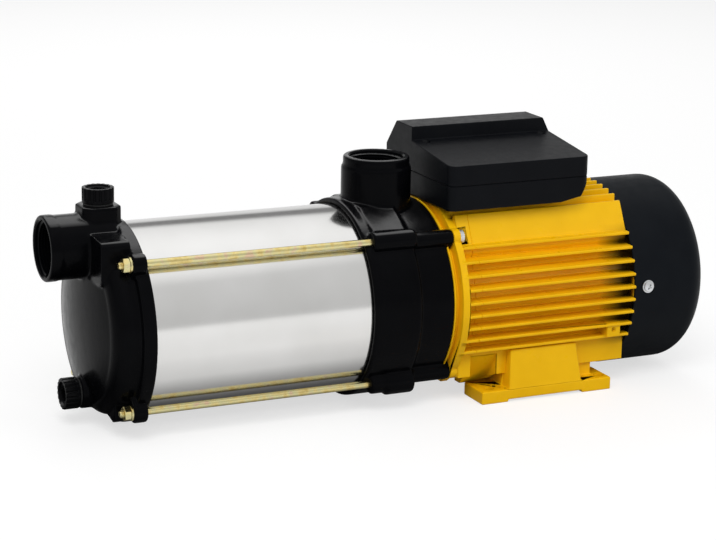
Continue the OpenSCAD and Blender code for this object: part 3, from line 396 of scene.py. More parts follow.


# Mouldings and rubber: two tones, spark-eroded grain or none, and a slight sink of the surface. The sheen is
# a painted highlight on up-facing surfaces
mouldings = {
    "plug_black": {"colours": [(0.0020, 0.0020, 0.0025), (0.0034, 0.0034, 0.0040)],
                   "grain": 0.5, "depth": 0.006, "gloss": (0.24, 0.36), "specular": 0.06, "paintedSheen": 0.8},
    "fan_plastic": {"colours": [(0.012, 0.013, 0.014), (0.018, 0.019, 0.020)], "grain": 0.7, "depth": 0.01,
                    "gloss": (0.4, 0.5)},
    "cover_plastic": {"colours": [(0.0050, 0.0062, 0.0082), (0.0066, 0.0080, 0.0102)],
                      "grain": 0.55, "depth": 0.022, "gloss": (0.36, 0.46), "specular": 0.06},
    "box_plastic": {"colours": [(0.0030, 0.0034, 0.0046), (0.0040, 0.0046, 0.0060)],
                    "grain": 0.5, "depth": 0.014, "gloss": (0.34, 0.44), "specular": 0.08, "paintedSheen": 0.22},
    "gland_plastic": {"colours": [(0.012, 0.012, 0.013), (0.018, 0.018, 0.019)], "grain": 0.4, "depth": 0.006,
                      "gloss": (0.35, 0.45)},
    "block_resin": {"colours": [(0.62, 0.58, 0.48), (0.70, 0.66, 0.56)], "grain": 0.6, "depth": 0.006,
                    "gloss": (0.35, 0.5)},
    "stage_resin": {"colours": [(0.50, 0.46, 0.37), (0.60, 0.56, 0.46)], "grain": 0.8, "depth": 0.008,
                    "gloss": (0.35, 0.5)},
    "ring_white": {"colours": [(0.72, 0.72, 0.70), (0.80, 0.80, 0.78)], "grain": 0.5, "depth": 0.003,
                   "gloss": (0.3, 0.4)},
    "ceramic": {"colours": [(0.70, 0.68, 0.62), (0.78, 0.76, 0.70)], "grain": 0.3, "depth": 0.001,
                "gloss": (0.12, 0.2)},
    "carbon": {"colours": [(0.018, 0.018, 0.02), (0.03, 0.03, 0.033)], "grain": 0.3, "depth": 0.004,
               "gloss": (0.3, 0.42)},
    "rubber": {"colours": [(0.010, 0.010, 0.010), (0.018, 0.018, 0.018)], "grain": 0.9, "depth": 0.012,
               "gloss": (0.55, 0.7)},
}


def makeMoulding(name, s):
    m = newMaterial(name)
    colour = colourBetween(m, noise(m, 22, 4), s["colours"])
    roughness = between(m, noise(m, 6, 3), *s["gloss"])
    bump(m, noise(m, 30, 1), s["depth"] * 3)
    bump(m, grain(m, s["grain"]), s["depth"])
    bump(m, noise(m, s["grain"] * 0.5, 2), s["depth"] * 0.5)
    close(m, colour, roughness, **{"IOR": 1.42, "Specular IOR Level": specularOf(m, s)})


# Stacked electrical steel: one line per sheet
def makeLaminations():
    m = newMaterial("laminations")
    sheets = bands(m, 0.5)
    colour = colourBetween(m, sheets, [(0.10, 0.10, 0.11), (0.34, 0.34, 0.35)])
    bump(m, sheets, 0.05)
    bump(m, noise(m, 0.8, 2), 0.01)
    close(m, colour, between(m, noise(m, 5, 3), 0.35, 0.55), **{"Metallic": 0.9})


for slotName, settings in enamels.items():
    makeEnamel(slotName, settings)
for slotName, settings in metals.items():
    makeMetal(slotName, settings)
for slotName, settings in mouldings.items():
    makeMoulding(slotName, settings)
makeLaminations()
for name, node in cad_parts.items():
    for i in range(len(node.data.materials)):
        node.data.materials[i] = finishes[slotOf[name]]
print("materials made:", len(finishes))


# Shape helpers

# An outline in which a point given as (a, b, radius) becomes an arc
def rounded(points, closed=True, step=10):
    outline = []
    count = len(points)
    for i, point in enumerate(points):
        here = Vector(point[:2])
        inside = closed or 0 < i < count - 1
        if len(point) < 3 or not inside:
            outline.append(here)
            continue
        back = (Vector(points[i - 1][:2]) - here).normalized()
        ahead = (Vector(points[(i + 1) % count][:2]) - here).normalized()
        half = back.angle(ahead) / 2
        centre = here + (back + ahead).normalized() * (point[2] / math.sin(half))
        reach = point[2] / math.tan(half)
        start = here + back * reach - centre
        end = here + ahead * reach - centre
        first = math.atan2(start.y, start.x)
        sweep = (math.atan2(end.y, end.x) - first + math.pi) % (2 * math.pi) - math.pi
        steps = max(2, math.ceil(abs(math.degrees(sweep)) / step))
        for k in range(steps + 1):
            turn = first + sweep * k / steps
            outline.append(centre + Vector((math.cos(turn), math.sin(turn))) * point[2])
    return outline


# A solid turned about Z from an outline of (height, radius) points
def revolve(outline, segments=128, closed=True):
    bm = bmesh.new()
    verts = [bm.verts.new((radius, 0, height)) for height, radius in outline]
    edges = [bm.edges.new(pair) for pair in zip(verts, verts[1:])]
    if closed:
        edges.append(bm.edges.new((verts[-1], verts[0])))
    bmesh.ops.spin(bm, geom=verts + edges, cent=(0, 0, 0), axis=(0, 0, 1), angle=2 * math.pi, steps=segments,
                   use_merge=True)
    bmesh.ops.remove_doubles(bm, verts=bm.verts[:], dist=1e-4)
    bmesh.ops.recalc_face_normals(bm, faces=bm.faces[:])
    return bm


def turnedRod(length, radius, edge=0.4, segments=64):
    outline = rounded([(0, 0), (0, radius, edge), (length, radius, edge), (length, 0)], False)
    return revolve(outline, segments, False)


def turnedRing(length, outer, inner, edge=0.3, segments=96):
    outline = rounded([(0, inner, edge), (0, outer, edge), (length, outer, edge), (length, inner, edge)])
    return revolve(outline, segments)


# A solid with the outline in XY, drawn up along Z, with its rims rounded
def prism(outline, height, edge=0.0, segments=3):
    bm = bmesh.new()
    face = bm.faces.new([bm.verts.new((x, y, 0)) for x, y in outline])
    drawn = bmesh.ops.extrude_face_region(bm, geom=[face])["geom"]
    bmesh.ops.translate(bm, verts=[g for g in drawn if isinstance(g, bmesh.types.BMVert)], vec=(0, 0, height))
    bmesh.ops.recalc_face_normals(bm, faces=bm.faces[:])
    if edge:
        rims = [e for e in bm.edges if abs(e.verts[0].co.z - e.verts[1].co.z) < 1e-5]
        roundEdges(bm, rims, edge, segments)
    return bm


def roundEdges(bm, edges, width, segments=3, clamp=True):
    bmesh.ops.bevel(bm, geom=edges, offset=width, offset_type="OFFSET", segments=segments, profile=0.5,
                    affect="EDGES", clamp_overlap=clamp, material=-1)


def block(x0, x1, y0, y1, z0, z1, edge):
    bm = bmesh.new()
    bmesh.ops.create_cube(bm, size=1)
    bmesh.ops.scale(bm, vec=(x1 - x0, y1 - y0, z1 - z0), verts=bm.verts[:])
    bmesh.ops.translate(bm, vec=((x0 + x1) / 2, (y0 + y1) / 2, (z0 + z1) / 2), verts=bm.verts[:])
    roundEdges(bm, bm.edges[:], edge)
    return bm


# A thread's ridge about Z, from height 0 up; the tip points outwards where it is larger than the root
def threadRidge(root, tip, pitch, turns, perTurn=48, flat=0.12):
    bm = bmesh.new()
    wide, narrow = pitch * 0.46, pitch * flat
    points = [(-wide, root), (wide, root), (narrow, tip), (-narrow, tip)]
    verts = [bm.verts.new((radius, 0, height)) for height, radius in points]
    edges = [bm.edges.new((verts[i], verts[(i + 1) % 4])) for i in range(4)]
    steps = round(turns * perTurn)
    last = bmesh.ops.spin(bm, geom=verts + edges, cent=(0, 0, 0), axis=(0, 0, 1), angle=2 * math.pi * turns,
                          steps=steps, dvec=(0, 0, pitch / perTurn), use_merge=False)["geom_last"]
    bm.faces.new(verts)
    bm.faces.new([g for g in last if isinstance(g, bmesh.types.BMVert)])
    bmesh.ops.recalc_face_normals(bm, faces=bm.faces[:])
    return bm


def add(whole, part, matrix=Matrix()):
    part.transform(matrix)
    mesh = bpy.data.meshes.new("part")
    part.to_mesh(mesh)
    part.free()
    whole.from_mesh(mesh)
    bpy.data.meshes.remove(mesh)
    return whole


def joined(*parts):
    whole = bmesh.new()
    for part in parts:
        add(whole, part)
    return whole


# Places: Z turned to run along X, or left upright
def alongX(x, y=0.0, z=None):
    return Matrix.Translation((x, y, shaftZ if z is None else z)) @ Matrix.Rotation(math.radians(90), 4, "Y")


def upright(x, y, z):
    return Matrix.Translation((x, y, z))


# The place at a bolt circle's corner, with local Z along X and local Y pointing outwards
def atCorner(x, radius, angle):
    turn = Matrix.Translation((0, 0, shaftZ)) @ Matrix.Rotation(math.radians(angle), 4, "X")
    return turn @ Matrix.Translation((x, radius, 0)) @ Matrix.Rotation(math.radians(90), 4, "Y")


def looseObject(name, bm):
    bmesh.ops.scale(bm, vec=(mm, mm, mm), verts=bm.verts[:])
    mesh = bpy.data.meshes.new(name)
    bm.to_mesh(mesh)
    bm.free()
    piece = bpy.data.objects.new(name, mesh)
    bpy.context.scene.collection.objects.link(piece)
    return piece


def shapeOf(piece):
    bm = bmesh.new()
    bm.from_mesh(piece.data)
    bmesh.ops.scale(bm, vec=(1 / mm,) * 3, verts=bm.verts[:])
    bpy.data.objects.remove(piece)
    return bm


def applyModifiers(piece):
    bpy.context.view_layer.update()
    graph = bpy.context.evaluated_depsgraph_get()
    old = piece.data
    piece.data = bpy.data.meshes.new_from_object(piece.evaluated_get(graph))
    piece.modifiers.clear()
    bpy.data.meshes.remove(old)


# The castings are cut with the manifold solver, which keeps their dense meshes closed
def cut(piece, *cutters, operation="DIFFERENCE", solver="EXACT"):
    tool = looseObject("tool", joined(*cutters))
    step = piece.modifiers.new("cut", "BOOLEAN")
    step.object = tool
    step.operation = operation
    step.solver = solver
    step.use_self = len(cutters) > 1
    applyModifiers(piece)
    bpy.data.objects.remove(tool)


# Joins overlapping solids into one casting and rounds it as a sand mould does
def castTogether(piece, grainSize, passes, kept=1.0):
    remesh = piece.modifiers.new("mould", "REMESH")
    remesh.mode = "VOXEL"
    remesh.voxel_size = grainSize * mm
    soft = piece.modifiers.new("soft", "SMOOTH")
    soft.factor = 0.5
    soft.iterations = passes
    if kept < 1:
        thin = piece.modifiers.new("thin", "DECIMATE")
        thin.ratio = kept
    applyModifiers(piece)


def shadeSmooth(mesh, sharp):
    mesh.polygons.foreach_set("use_smooth", [True] * len(mesh.polygons))
    mesh.set_sharp_from_angle(angle=math.radians(sharp))


# Large flat faces keep their own normals where weighted, so that only the rounded edges shade softly
def putOn(piece, slotName, body="root", replaces=(), sharp=35, weighted=False):
    if weighted:
        shadeSmooth(piece.data, sharp)
        step = piece.modifiers.new("weights", "WEIGHTED_NORMAL")
        step.keep_sharp = True
        step.weight = 50
        applyModifiers(piece)
    mesh = piece.data
    mesh.materials.clear()
    mesh.materials.append(finishes[slotName])
    if not weighted:
        shadeSmooth(mesh, sharp)
    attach(piece, body)
    if replaces:
        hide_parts(*replaces)
    print("made", piece.name, len(mesh.polygons), "faces")
    return piece


# A copy of a CAD node's shape, in millimetres and free of needless edges
def copyOf(node):
    bm = bmesh.new()
    bm.from_mesh(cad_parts[node].data)
    bmesh.ops.scale(bm, vec=(1 / mm,) * 3, verts=bm.verts[:])
    bmesh.ops.remove_doubles(bm, verts=bm.verts[:], dist=0.004)
    bmesh.ops.dissolve_limit(bm, angle_limit=math.radians(0.4), use_dissolve_boundaries=False,
                             verts=bm.verts[:], edges=bm.edges[:], delimit=set())
    return bm


def soften(bm, width, segments=2, least=0.8, angle=24):
    low = [min(v.co[i] for v in bm.verts) for i in range(3)]
    high = [max(v.co[i] for v in bm.verts) for i in range(3)]
    limit = math.radians(angle)
    sharp = [e for e in bm.edges if len(e.link_faces) == 2 and e.calc_length() > least
             and abs(e.calc_face_angle_signed(0)) > limit]
    roundEdges(bm, sharp, width, segments, False)
    for v in bm.verts:
        v.co = [min(max(v.co[i], low[i]), high[i]) for i in range(3)]
    return bm


# Outer sleeve: rolled stainless tube with broken edges
sleeve = {"wall": 2.0, "edge": 0.35, "segments": 256}


def makeSleeve():
    radius = (sleeveHigh.z - sleeveLow.z) / 2
    length = sleeveHigh.x - sleeveLow.x
    tube = turnedRing(length, radius, radius - sleeve["wall"], sleeve["edge"], sleeve["segments"])
    tube.transform(alongX(sleeveLow.x))
    putOn(looseObject("sleeveShell", tube), "stainless", replaces=["outer_sleeve"])


makeSleeve()

# The G 1 1/4 port that both castings have
port = {"bore": 20.95, "boreDepth": 22.0, "duct": 19.0, "mouth": 2.2, "threadPitch": 2.309,
        "threadDepth": 1.3, "threadTurns": 7.5, "threadStart": 3.2}


def portThread():
    tip = port["bore"] - port["threadDepth"]
    return threadRidge(port["bore"] + 0.1, tip, port["threadPitch"], port["threadTurns"], 72)


# Suction casing: dished cover with the inlet neck, bosses and corner ears cast on
suction = {**port, "voxel": 0.95, "passes": 7, "wall": 6.0, "ringRadius": 77.5, "ringWidth": 10.5,
           "bandRadius": 71.0, "bandRound": 14.0, "domeRise": 7.0, "coverDepth": 19.5, "neckRadius": 24.4,
           "lipRadius": 25.0, "lipLength": 9.0, "neckRise": 59.5, "inside": 54.0, "sleeveSeat": 73.6,
           "seatDepth": 1.5, "earRadius": 8.0, "earDepth": 17.4, "earLength": 11.0, "earStart": 3.0,
           "rodCircle": 79.4, "rodHole": 3.3, "nutSeat": 7.4, "nutReach": 40.0, "bossWidth": 30.0,
           "bossCut": 6.0, "bossTop": 30.5, "bossFoot": 8.0, "bossPlace": 8.5, "plugHole": 8.4,
           "plugDepth": 16.0, "drainRadius": 12.5, "drainDrop": 54.0, "drainReach": 6.0}
# Its webs: outline in Y and Z from the shaft, and the length along X
suctionWebs = [([(14, 38), (44, 38), (47, 42), (47, 68), (44, 71), (14, 73)], 22),
               ([(30, -52), (40, -42), (47, -42), (47, -64), (42, -67), (26, -64)], 13)]


def domeOutline(s, face):
    flat = s["bandRadius"] - s["bandRound"]
    ball = (flat ** 2 + s["domeRise"] ** 2) / (2 * s["domeRise"])
    limit = math.asin(flat / ball)
    return [(face - s["domeRise"] + ball * (1 - math.cos(limit * k / 12)), ball * math.sin(limit * k / 12))
            for k in range(13)]


def makeSuctionCasing():
    s = suction
    low, high = nodeBox("suction_casing")
    back = high.x
    ring = back - s["ringWidth"]
    face = ring - s["coverDepth"]
    seat = sleeveLow.x - s["seatDepth"]
    band = s["bandRadius"]
    shell = domeOutline(s, face) + rounded([
        (face, band - s["bandRound"]), (face, band, s["bandRound"]), (ring, band, 2.5),
        (ring, s["ringRadius"], 1.6), (back, s["ringRadius"], 1.2), (back, s["sleeveSeat"]),
        (seat, s["sleeveSeat"]), (seat, band - s["wall"] - 0.5), (face + 16, band - s["wall"] - 0.5, 8),
        (face + s["wall"], s["inside"]), (face + s["wall"], 0)], False)
    shape = revolve(shell, 192, False)
    shape.transform(alongX(0))
    neckZ = shaftZ + s["neckRise"]
    add(shape, turnedRod(ring - low.x, s["neckRadius"], 1.5, 96), alongX(low.x, 0, neckZ))
    add(shape, turnedRod(s["lipLength"], s["lipRadius"], 1.2, 96), alongX(low.x, 0, neckZ))
    for side in (-1, 1):
        for outline, reach in suctionWebs:
            points = [(-z, side * y) for y, z in outline]
            add(shape, prism(points, reach + 0.5), alongX(ring - reach))
    earX = ring - s["earStart"]
    for angle in corners:
        ear = turnedRod(s["earLength"], s["earRadius"], 1.5, 48)
        add(ear, block(-s["earRadius"], s["earRadius"], -s["earDepth"], 0, 0, s["earLength"], 1.2))
        add(shape, ear, atCorner(earX, s["rodCircle"], angle))
    w, c = s["bossWidth"] / 2, s["bossCut"]
    top = neckZ + s["bossTop"]
    foot = neckZ + s["bossFoot"]
    bossX = ring - s["bossPlace"]
    boss = [(-w, -w + c, 1.5), (-w + c, -w, 1.5), (w - c, -w, 1.5), (w, -w + c, 1.5),
            (w, w - c, 1.5), (w - c, w, 1.5), (-w + c, w, 1.5), (-w, w - c, 1.5)]
    add(shape, prism(rounded(boss), top - foot, 1.0), upright(bossX, 0, foot))
    drainX = face - s["drainReach"]
    drainZ = shaftZ - s["drainDrop"]
    drainBoss = turnedRod(face + s["bandRound"] - drainX, s["drainRadius"], 1.0, 64)
    add(shape, drainBoss, alongX(drainX, 0, drainZ))
    casing = looseObject("suctionCasting", shape)
    castTogether(casing, s["voxel"], s["passes"])
    cutters = [turnedRod(s["boreDepth"] + 1, s["bore"], 0.2, 96), turnedRod(24, s["duct"], 0.2, 96)]
    cutters[0].transform(alongX(low.x - 1, 0, neckZ))
    cutters[1].transform(alongX(low.x + s["boreDepth"] - 0.5, 0, neckZ))
    mouth = revolve([(-1, 0), (-1, s["bore"] + s["mouth"]), (1.4, s["bore"] - 0.2), (1.4, 0)], 96, False)
    mouth.transform(alongX(low.x, 0, neckZ))
    cutters.append(mouth)
    for place in (upright(bossX, 0, top - s["plugDepth"]), alongX(drainX - 1, 0, drainZ)):
        hole = turnedRod(s["plugDepth"] + 1, s["plugHole"], 0.2, 48)
        hole.transform(place)
        cutters.append(hole)
    for angle in corners:
        seatCut = turnedRod(s["nutReach"], s["nutSeat"], 0.2, 48)
        seatCut.transform(atCorner(earX - s["nutReach"], s["rodCircle"], angle))
        rodCut = turnedRod(20, s["rodHole"], 0.2, 32)
        rodCut.transform(atCorner(ring - 5, s["rodCircle"], angle))
        cutters += [seatCut, rodCut]
    for cutter in cutters:
        cut(casing, cutter, solver="MANIFOLD")
    putOn(casing, "black_enamel", replaces=["suction_casing"], sharp=40)
    thread = portThread()
    thread.transform(alongX(low.x + s["threadStart"], 0, neckZ))
    putOn(looseObject("suctionThread", thread), "black_enamel", sharp=60)


# Discharge casing: collar over the sleeve, lantern towards the motor, upright outlet and its webs
discharge = {**port, "voxel": 0.95, "passes": 7, "kept": 0.56, "collarRadius": 78.0, "collarLength": 40.0,
             "sleeveSeat": 73.6, "chamber": 65.0, "lanternRadius": 74.0, "lantern": 29.0,
             "flange": (11.0, 18.0), "shaftHole": 12.0, "slotPlace": 7.0, "neckRadius": 26.0,
             "bodyRadius": 27.4, "neckFoot": 45.0, "outletX": 5.5, "ductLength": 50.0, "rodCircle": 79.4,
             "lugRadius": 8.0, "lugDepth": 17.4, "lugStart": 5.0, "lowerLugRadius": 10.0,
             "lowerLugStart": 12.0, "boltCircle": 75.5, "boltLug": 6.8, "boltLugDepth": 13.5,
             "boltStart": 3.0}


def makeDischargeCasing():
    s = discharge
    low, high = nodeBox("discharge_casing")
    lantern = nodeBox("drive_end_shield")[0].x
    collarEnd = lantern - s["lantern"]
    front, rear = [collarEnd + length for length in s["flange"]]
    collarStart = collarEnd - s["collarLength"]
    shell = rounded([
        (low.x, s["chamber"]), (low.x, 71), (collarStart + 7, 71), (collarStart + 7, s["sleeveSeat"]),
        (collarStart, s["sleeveSeat"]),
        (collarStart, s["collarRadius"], 1.5), (collarEnd - 1, s["collarRadius"], 2.0),
        (collarEnd + 0.5, s["lanternRadius"], 2.0), (lantern, s["lanternRadius"], 1.0),
        (lantern, s["chamber"]), (rear, s["chamber"]), (rear, s["shaftHole"]), (front, s["shaftHole"]),
        (front, s["chamber"])])
    shape = revolve(shell, 192)
    shape.transform(alongX(0))
    for angle in corners:
        lower = angle > 180
        start = collarStart + s["lugStart"]
        length = collarEnd + 0.6 - start
        lug = turnedRod(length, s["lugRadius"], 1.5, 48)
        add(lug, block(-s["lugRadius"], s["lugRadius"], -s["lugDepth"], 0, 0, length, 1.2))
        if lower:
            thick = turnedRod(length - s["lowerLugStart"], s["lowerLugRadius"], 1.5, 48)
            add(lug, thick, upright(0, 0, s["lowerLugStart"]))
        add(shape, lug, atCorner(start, s["rodCircle"], angle))
        length = s["lantern"] + s["boltStart"] + 5
        ear = turnedRod(length, s["boltLug"], 1.0, 40)
        add(ear, block(-s["boltLug"], s["boltLug"], -s["boltLugDepth"], 0, 0, length, 1.0))
        add(shape, ear, atCorner(collarEnd - s["boltStart"], s["boltCircle"], angle))
    outletX = collarEnd - s["outletX"]
    rise = high.z - shaftZ - s["neckFoot"]
    neck = rounded([(0, 0), (0, s["bodyRadius"]), (rise - 8.5, s["bodyRadius"], 1.5),
                    (rise - 7.5, s["neckRadius"], 0.8), (rise, s["neckRadius"], 1.4), (rise, 0)], False)
    add(shape, revolve(neck, 96, False), upright(outletX, 0, shaftZ + s["neckFoot"]))
    for side in (-1, 1):
        web = [(12, 60), (12, 78), (24, 76.5, 6), (52, 62, 5), (57, 55), (40, 45)]
        points = rounded([(-z, side * y, *r) for y, z, *r in web])
        add(shape, prism(points, collarEnd - 3 - collarStart - 9), alongX(collarStart + 9))
    casing = looseObject("dischargeCasting", shape)
    castTogether(casing, s["voxel"], s["passes"], s["kept"])
    top = high.z
    bore = turnedRod(s["boreDepth"] + 2, s["bore"], 0.2, 96)
    bore.transform(upright(outletX, 0, top - s["boreDepth"]))
    duct = turnedRod(s["ductLength"], s["duct"], 0.2, 96)
    duct.transform(upright(outletX, 0, top - s["boreDepth"] - s["ductLength"] + 1))
    mouth = revolve([(1, 0), (1, s["bore"] + s["mouth"]), (-1.4, s["bore"] - 0.2), (-1.4, 0)], 96, False)
    mouth.transform(upright(outletX, 0, top))
    cutters = [bore, duct, mouth]
    slot = prism(rounded([(-5, -8, 3), (5, -8, 3), (5, 8, 3), (-5, 8, 3)]), 40)
    slot.transform(upright(lantern - s["slotPlace"], 0, -2))
    cutters.append(slot)
    for angle in corners:
        hole = turnedRod(16, 3.2, 0.2, 32)
        hole.transform(atCorner(collarStart + 4, s["rodCircle"], angle))
        cutters.append(hole)
    for cutter in cutters:
        cut(casing, cutter, solver="MANIFOLD")
    putOn(casing, "black_enamel", replaces=["discharge_casing"], sharp=40)
    thread = portThread()
    thread.transform(upright(outletX, 0, top - s["threadStart"] - s["threadTurns"] * s["threadPitch"]))
    putOn(looseObject("dischargeThread", thread), "black_enamel", sharp=60)


# Tie rods with rolled M6 ends, their nuts and washers
rods = {"radius": 2.95, "threadRadius": 2.62, "tip": 3.0, "pitch": 1.0, "threadLength": 17.0, "circle": 79.4,
        "flats": 10.0, "nutHeight": 5.0, "washerRadius": 6.0, "washer": 1.6}


# A hexagon nut or head about Z, with both rims turned down to 30 degrees
def hexagon(flats, height, bore=0.0, bothEnds=True):
    reach = flats / math.sqrt(3)
    bm = bmesh.new()
    bmesh.ops.create_cone(bm, cap_ends=True, segments=6, radius1=reach, radius2=reach, depth=height)
    bmesh.ops.translate(bm, vec=(0, 0, height / 2), verts=bm.verts[:])
    roundEdges(bm, [e for e in bm.edges if abs(e.verts[0].co.z - e.verts[1].co.z) > 1], 0.12, 2)
    piece = looseObject("hexagon", bm)
    face = flats / 2 * 0.95
    slope = (reach + 0.4 - face) * math.tan(math.radians(30))
    low = [(0, 0), (0, face), (slope, reach + 0.4)] if bothEnds else [(0, 0), (0, reach + 0.4)]
    lens = revolve(low + [(height - slope, reach + 0.4), (height, face), (height, 0)], 64, False)
    cut(piece, lens, operation="INTERSECT")
    if bore:
        hole = [(-1, 0), (-1, bore + 1.4), (0.4, bore), (height - 0.4, bore), (height + 1, bore + 1.4),
                (height + 1, 0)]
        cut(piece, revolve(hole, 48, False))
    return shapeOf(piece)


def makeTieRods():
    s = rods
    low, high = nodeBox("tie_rods")
    washerLow = nodeBox("tie_rod_washers")[0]
    allRods, allNuts, allWashers = bmesh.new(), bmesh.new(), bmesh.new()
    length = high.x - low.x
    for i, angle in enumerate(corners):
        core = revolve(rounded([
            (0, 0), (0, s["threadRadius"] - 0.5), (0.7, s["threadRadius"]),
            (s["threadLength"], s["threadRadius"]), (s["threadLength"] + 0.6, s["radius"]),
            (length, s["radius"], 0.4), (length, 0)], False), 48, False)
        ridge = threadRidge(s["threadRadius"] - 0.1, s["tip"], s["pitch"], s["threadLength"] - 1.5, 32)
        add(core, ridge, upright(0, 0, 1.0))
        add(allRods, core, atCorner(low.x, s["circle"], angle))
        nut = hexagon(s["flats"], s["nutHeight"], 2.7)
        add(allNuts, nut, atCorner(washerLow.x - s["nutHeight"], s["circle"], angle)
            @ Matrix.Rotation(math.radians(13 + 17 * i), 4, "Z"))
        add(allWashers, turnedRing(s["washer"], s["washerRadius"], 3.2, 0.3, 64),
            atCorner(washerLow.x, s["circle"], angle))
    putOn(looseObject("tieRods", allRods), "gold_zinc", replaces=["tie_rods"], sharp=50)
    putOn(looseObject("tieRodNuts", allNuts), "gold_zinc", replaces=["tie_rod_nuts"], sharp=30)
    putOn(looseObject("tieRodWashers", allWashers), "gold_zinc", replaces=["tie_rod_washers"])


# Screw plugs: fluted grip, hexagon socket, G 3/8 thread, and the flat seal under each
plug = {"radius": 12.0, "grip": 11.5, "seal": 1.5, "shank": 12.0, "threadRadius": 8.25, "root": 7.6,
        "pitch": 1.337, "flutes": 18, "fluteDepth": 0.85, "socket": 12.0, "socketDepth": 9.0, "dish": 2.0}


def fluted(radius, count, depth, samples=12):
    points = []
    for i in range(count * samples):
        turn = 2 * math.pi * i / (count * samples)
        wave = max(0.0, math.cos(count * turn)) ** 0.7
        reach = radius - depth * wave
        points.append((reach * math.cos(turn), reach * math.sin(turn)))
    return points


def plugShape():
    s = plug
    bm = prism(fluted(s["radius"], s["flutes"], s["fluteDepth"]), s["grip"], 0.5, 2)
    bm.transform(upright(0, 0, s["seal"]))
    piece = looseObject("plug", bm)
    rim = turnedRod(2.4, s["radius"], 0.6, 96)
    rim.transform(upright(0, 0, s["seal"]))
    cut(piece, rim, operation="UNION")
    topZ = s["seal"] + s["grip"]
    cut(piece, revolve(rounded([(topZ - s["dish"], 0), (topZ - s["dish"], s["radius"] - 3.4, 0.8),
                                (topZ + 1, s["radius"] - 2.2), (topZ + 1, 0)], False), 64, False))
    socket = bmesh.new()
    reach = s["socket"] / math.sqrt(3)
    bmesh.ops.create_cone(socket, cap_ends=True, segments=6, radius1=reach, radius2=reach, depth=20)
    socket.transform(upright(0, 0, topZ - s["socketDepth"] + 10))
    cut(piece, socket)
    shape = shapeOf(piece)
    shank = rounded([(-s["shank"], 0), (-s["shank"], s["root"], 0.6), (s["seal"] + 0.5, s["root"]),
                     (s["seal"] + 0.5, 0)], False)
    add(shape, revolve(shank, 64, False))
    turns = (s["shank"] - 3) / s["pitch"]
    add(shape, threadRidge(s["root"] - 0.1, s["threadRadius"], s["pitch"], turns, 48),
        upright(0, 0, -s["shank"] + 1.4))
    return shape


def makePlugs():
    s = plug
    fillerLow, fillerHigh = nodeBox("filler_plug_seal")
    drainLow, drainHigh = nodeBox("drain_plug_seal")
    spots = {
        "filler": upright((fillerLow.x + fillerHigh.x) / 2, 0, fillerLow.z),
        "drain": Matrix.Translation((drainHigh.x, 0, (drainLow.z + drainHigh.z) / 2))
        @ Matrix.Rotation(math.radians(-90), 4, "Y") @ Matrix.Rotation(math.radians(11), 4, "Z")}
    for name, spot in spots.items():
        shape = plugShape()
        shape.transform(spot)
        putOn(looseObject(name + "PlugBody", shape), "plug_black", name + "_plug", [name + "_plug"], 40)
        ring = turnedRing(s["seal"], s["radius"] - 0.8, 8.4, 0.55, 96)
        ring.transform(spot)
        putOn(looseObject(name + "PlugSealRing", ring), "rubber", name + "_seal", [name + "_plug_seal"])


# Fan cover: drawn cap with a rolled front rim, rounded rear edge and two rings of slots
fanCover = {"radius": 76.0, "wall": 2.0, "round": 18.0, "slots": [(12, 16.0, 27.0), (24, 35.0, 51.0)],
            "slotWidth": 4.0, "screwHole": 2.0, "segments": 192}


def makeFanCover():
    s = fanCover
    low, high = nodeBox("fan_cover")
    length = high.x - low.x
    r, w = s["radius"], s["wall"]
    outline = rounded([(length, 0), (length, r, s["round"]), (0, r, 0.8), (0, r - w, 0.8),
                       (length - w, r - w, s["round"] - w), (length - w, 0)], False, 5)
    bm = revolve(outline, s["segments"], False)
    bm.transform(alongX(low.x))
    cover = looseObject("fanCoverShell", bm)
    slots = bmesh.new()
    half = s["slotWidth"] / 2
    for count, inside, outside in s["slots"]:
        for k in range(count):
            ends = [(inside - half, -half), (outside + half, -half), (outside + half, half),
                    (inside - half, half)]
            outline = rounded([(*end, half * 0.98) for end in ends], True, 20)
            add(slots, prism(outline, 10), Matrix.Rotation(2 * math.pi * k / count, 4, "Z"))
    slots.transform(alongX(high.x - 6))
    cut(cover, slots)
    holes = bmesh.new()
    screwX = (nodeBox("fan_cover_screws")[0].x + nodeBox("fan_cover_screws")[1].x) / 2
    for angle in coverScrews["angles"]:
        add(holes, turnedRod(12, s["screwHole"], 0.1, 32), radially(screwX, r - 8, angle))
    cut(cover, holes)
    putOn(cover, "cover_plastic", replaces=["fan_cover"], sharp=32)


# The place at a radius from the shaft, with local Z pointing outwards
def radially(x, radius, angle):
    turn = Matrix.Translation((x, 0, shaftZ)) @ Matrix.Rotation(math.radians(angle), 4, "X")
    return turn @ Matrix.Translation((0, radius, 0)) @ Matrix.Rotation(math.radians(-90), 4, "X")


coverScrews = {"angles": [3, 177, 270], "washerRadius": 5.2, "washer": 1.2, "headRadius": 4.2, "head": 1.8,
               "recess": 3.1, "recessWidth": 1.3, "shank": 1.55, "root": 69.2}


# One bar of a cross recess, tapered down -Z from the given height
def recessBar(reach, width, depth, top, turn):
    bar = bmesh.new()
    bmesh.ops.create_cube(bar, size=1)
    bmesh.ops.scale(bar, vec=(2 * reach, width, 2 * depth), verts=bar.verts[:])
    bmesh.ops.scale(bar, vec=(0.45, 0.7, 1), verts=[v for v in bar.verts if v.co.z < 0])
    bar.transform(upright(0, 0, top) @ Matrix.Rotation(math.radians(turn), 4, "Z"))
    return bar


def panScrew(headRadius, head, shankRadius, shank, recess, width, crown=0.35):
    outline = rounded([(-shank, 0), (-shank, shankRadius, 0.3), (0, shankRadius), (0, headRadius, 0.3),
                       (head - crown, headRadius, head * 0.45), (head, headRadius * 0.45, 3),
                       (head, 0)], False)
    piece = looseObject("screw", revolve(outline, 64, False))
    for turn in (0, 90):
        cut(piece, recessBar(recess, width, head * 0.75, head, turn))
    return shapeOf(piece)


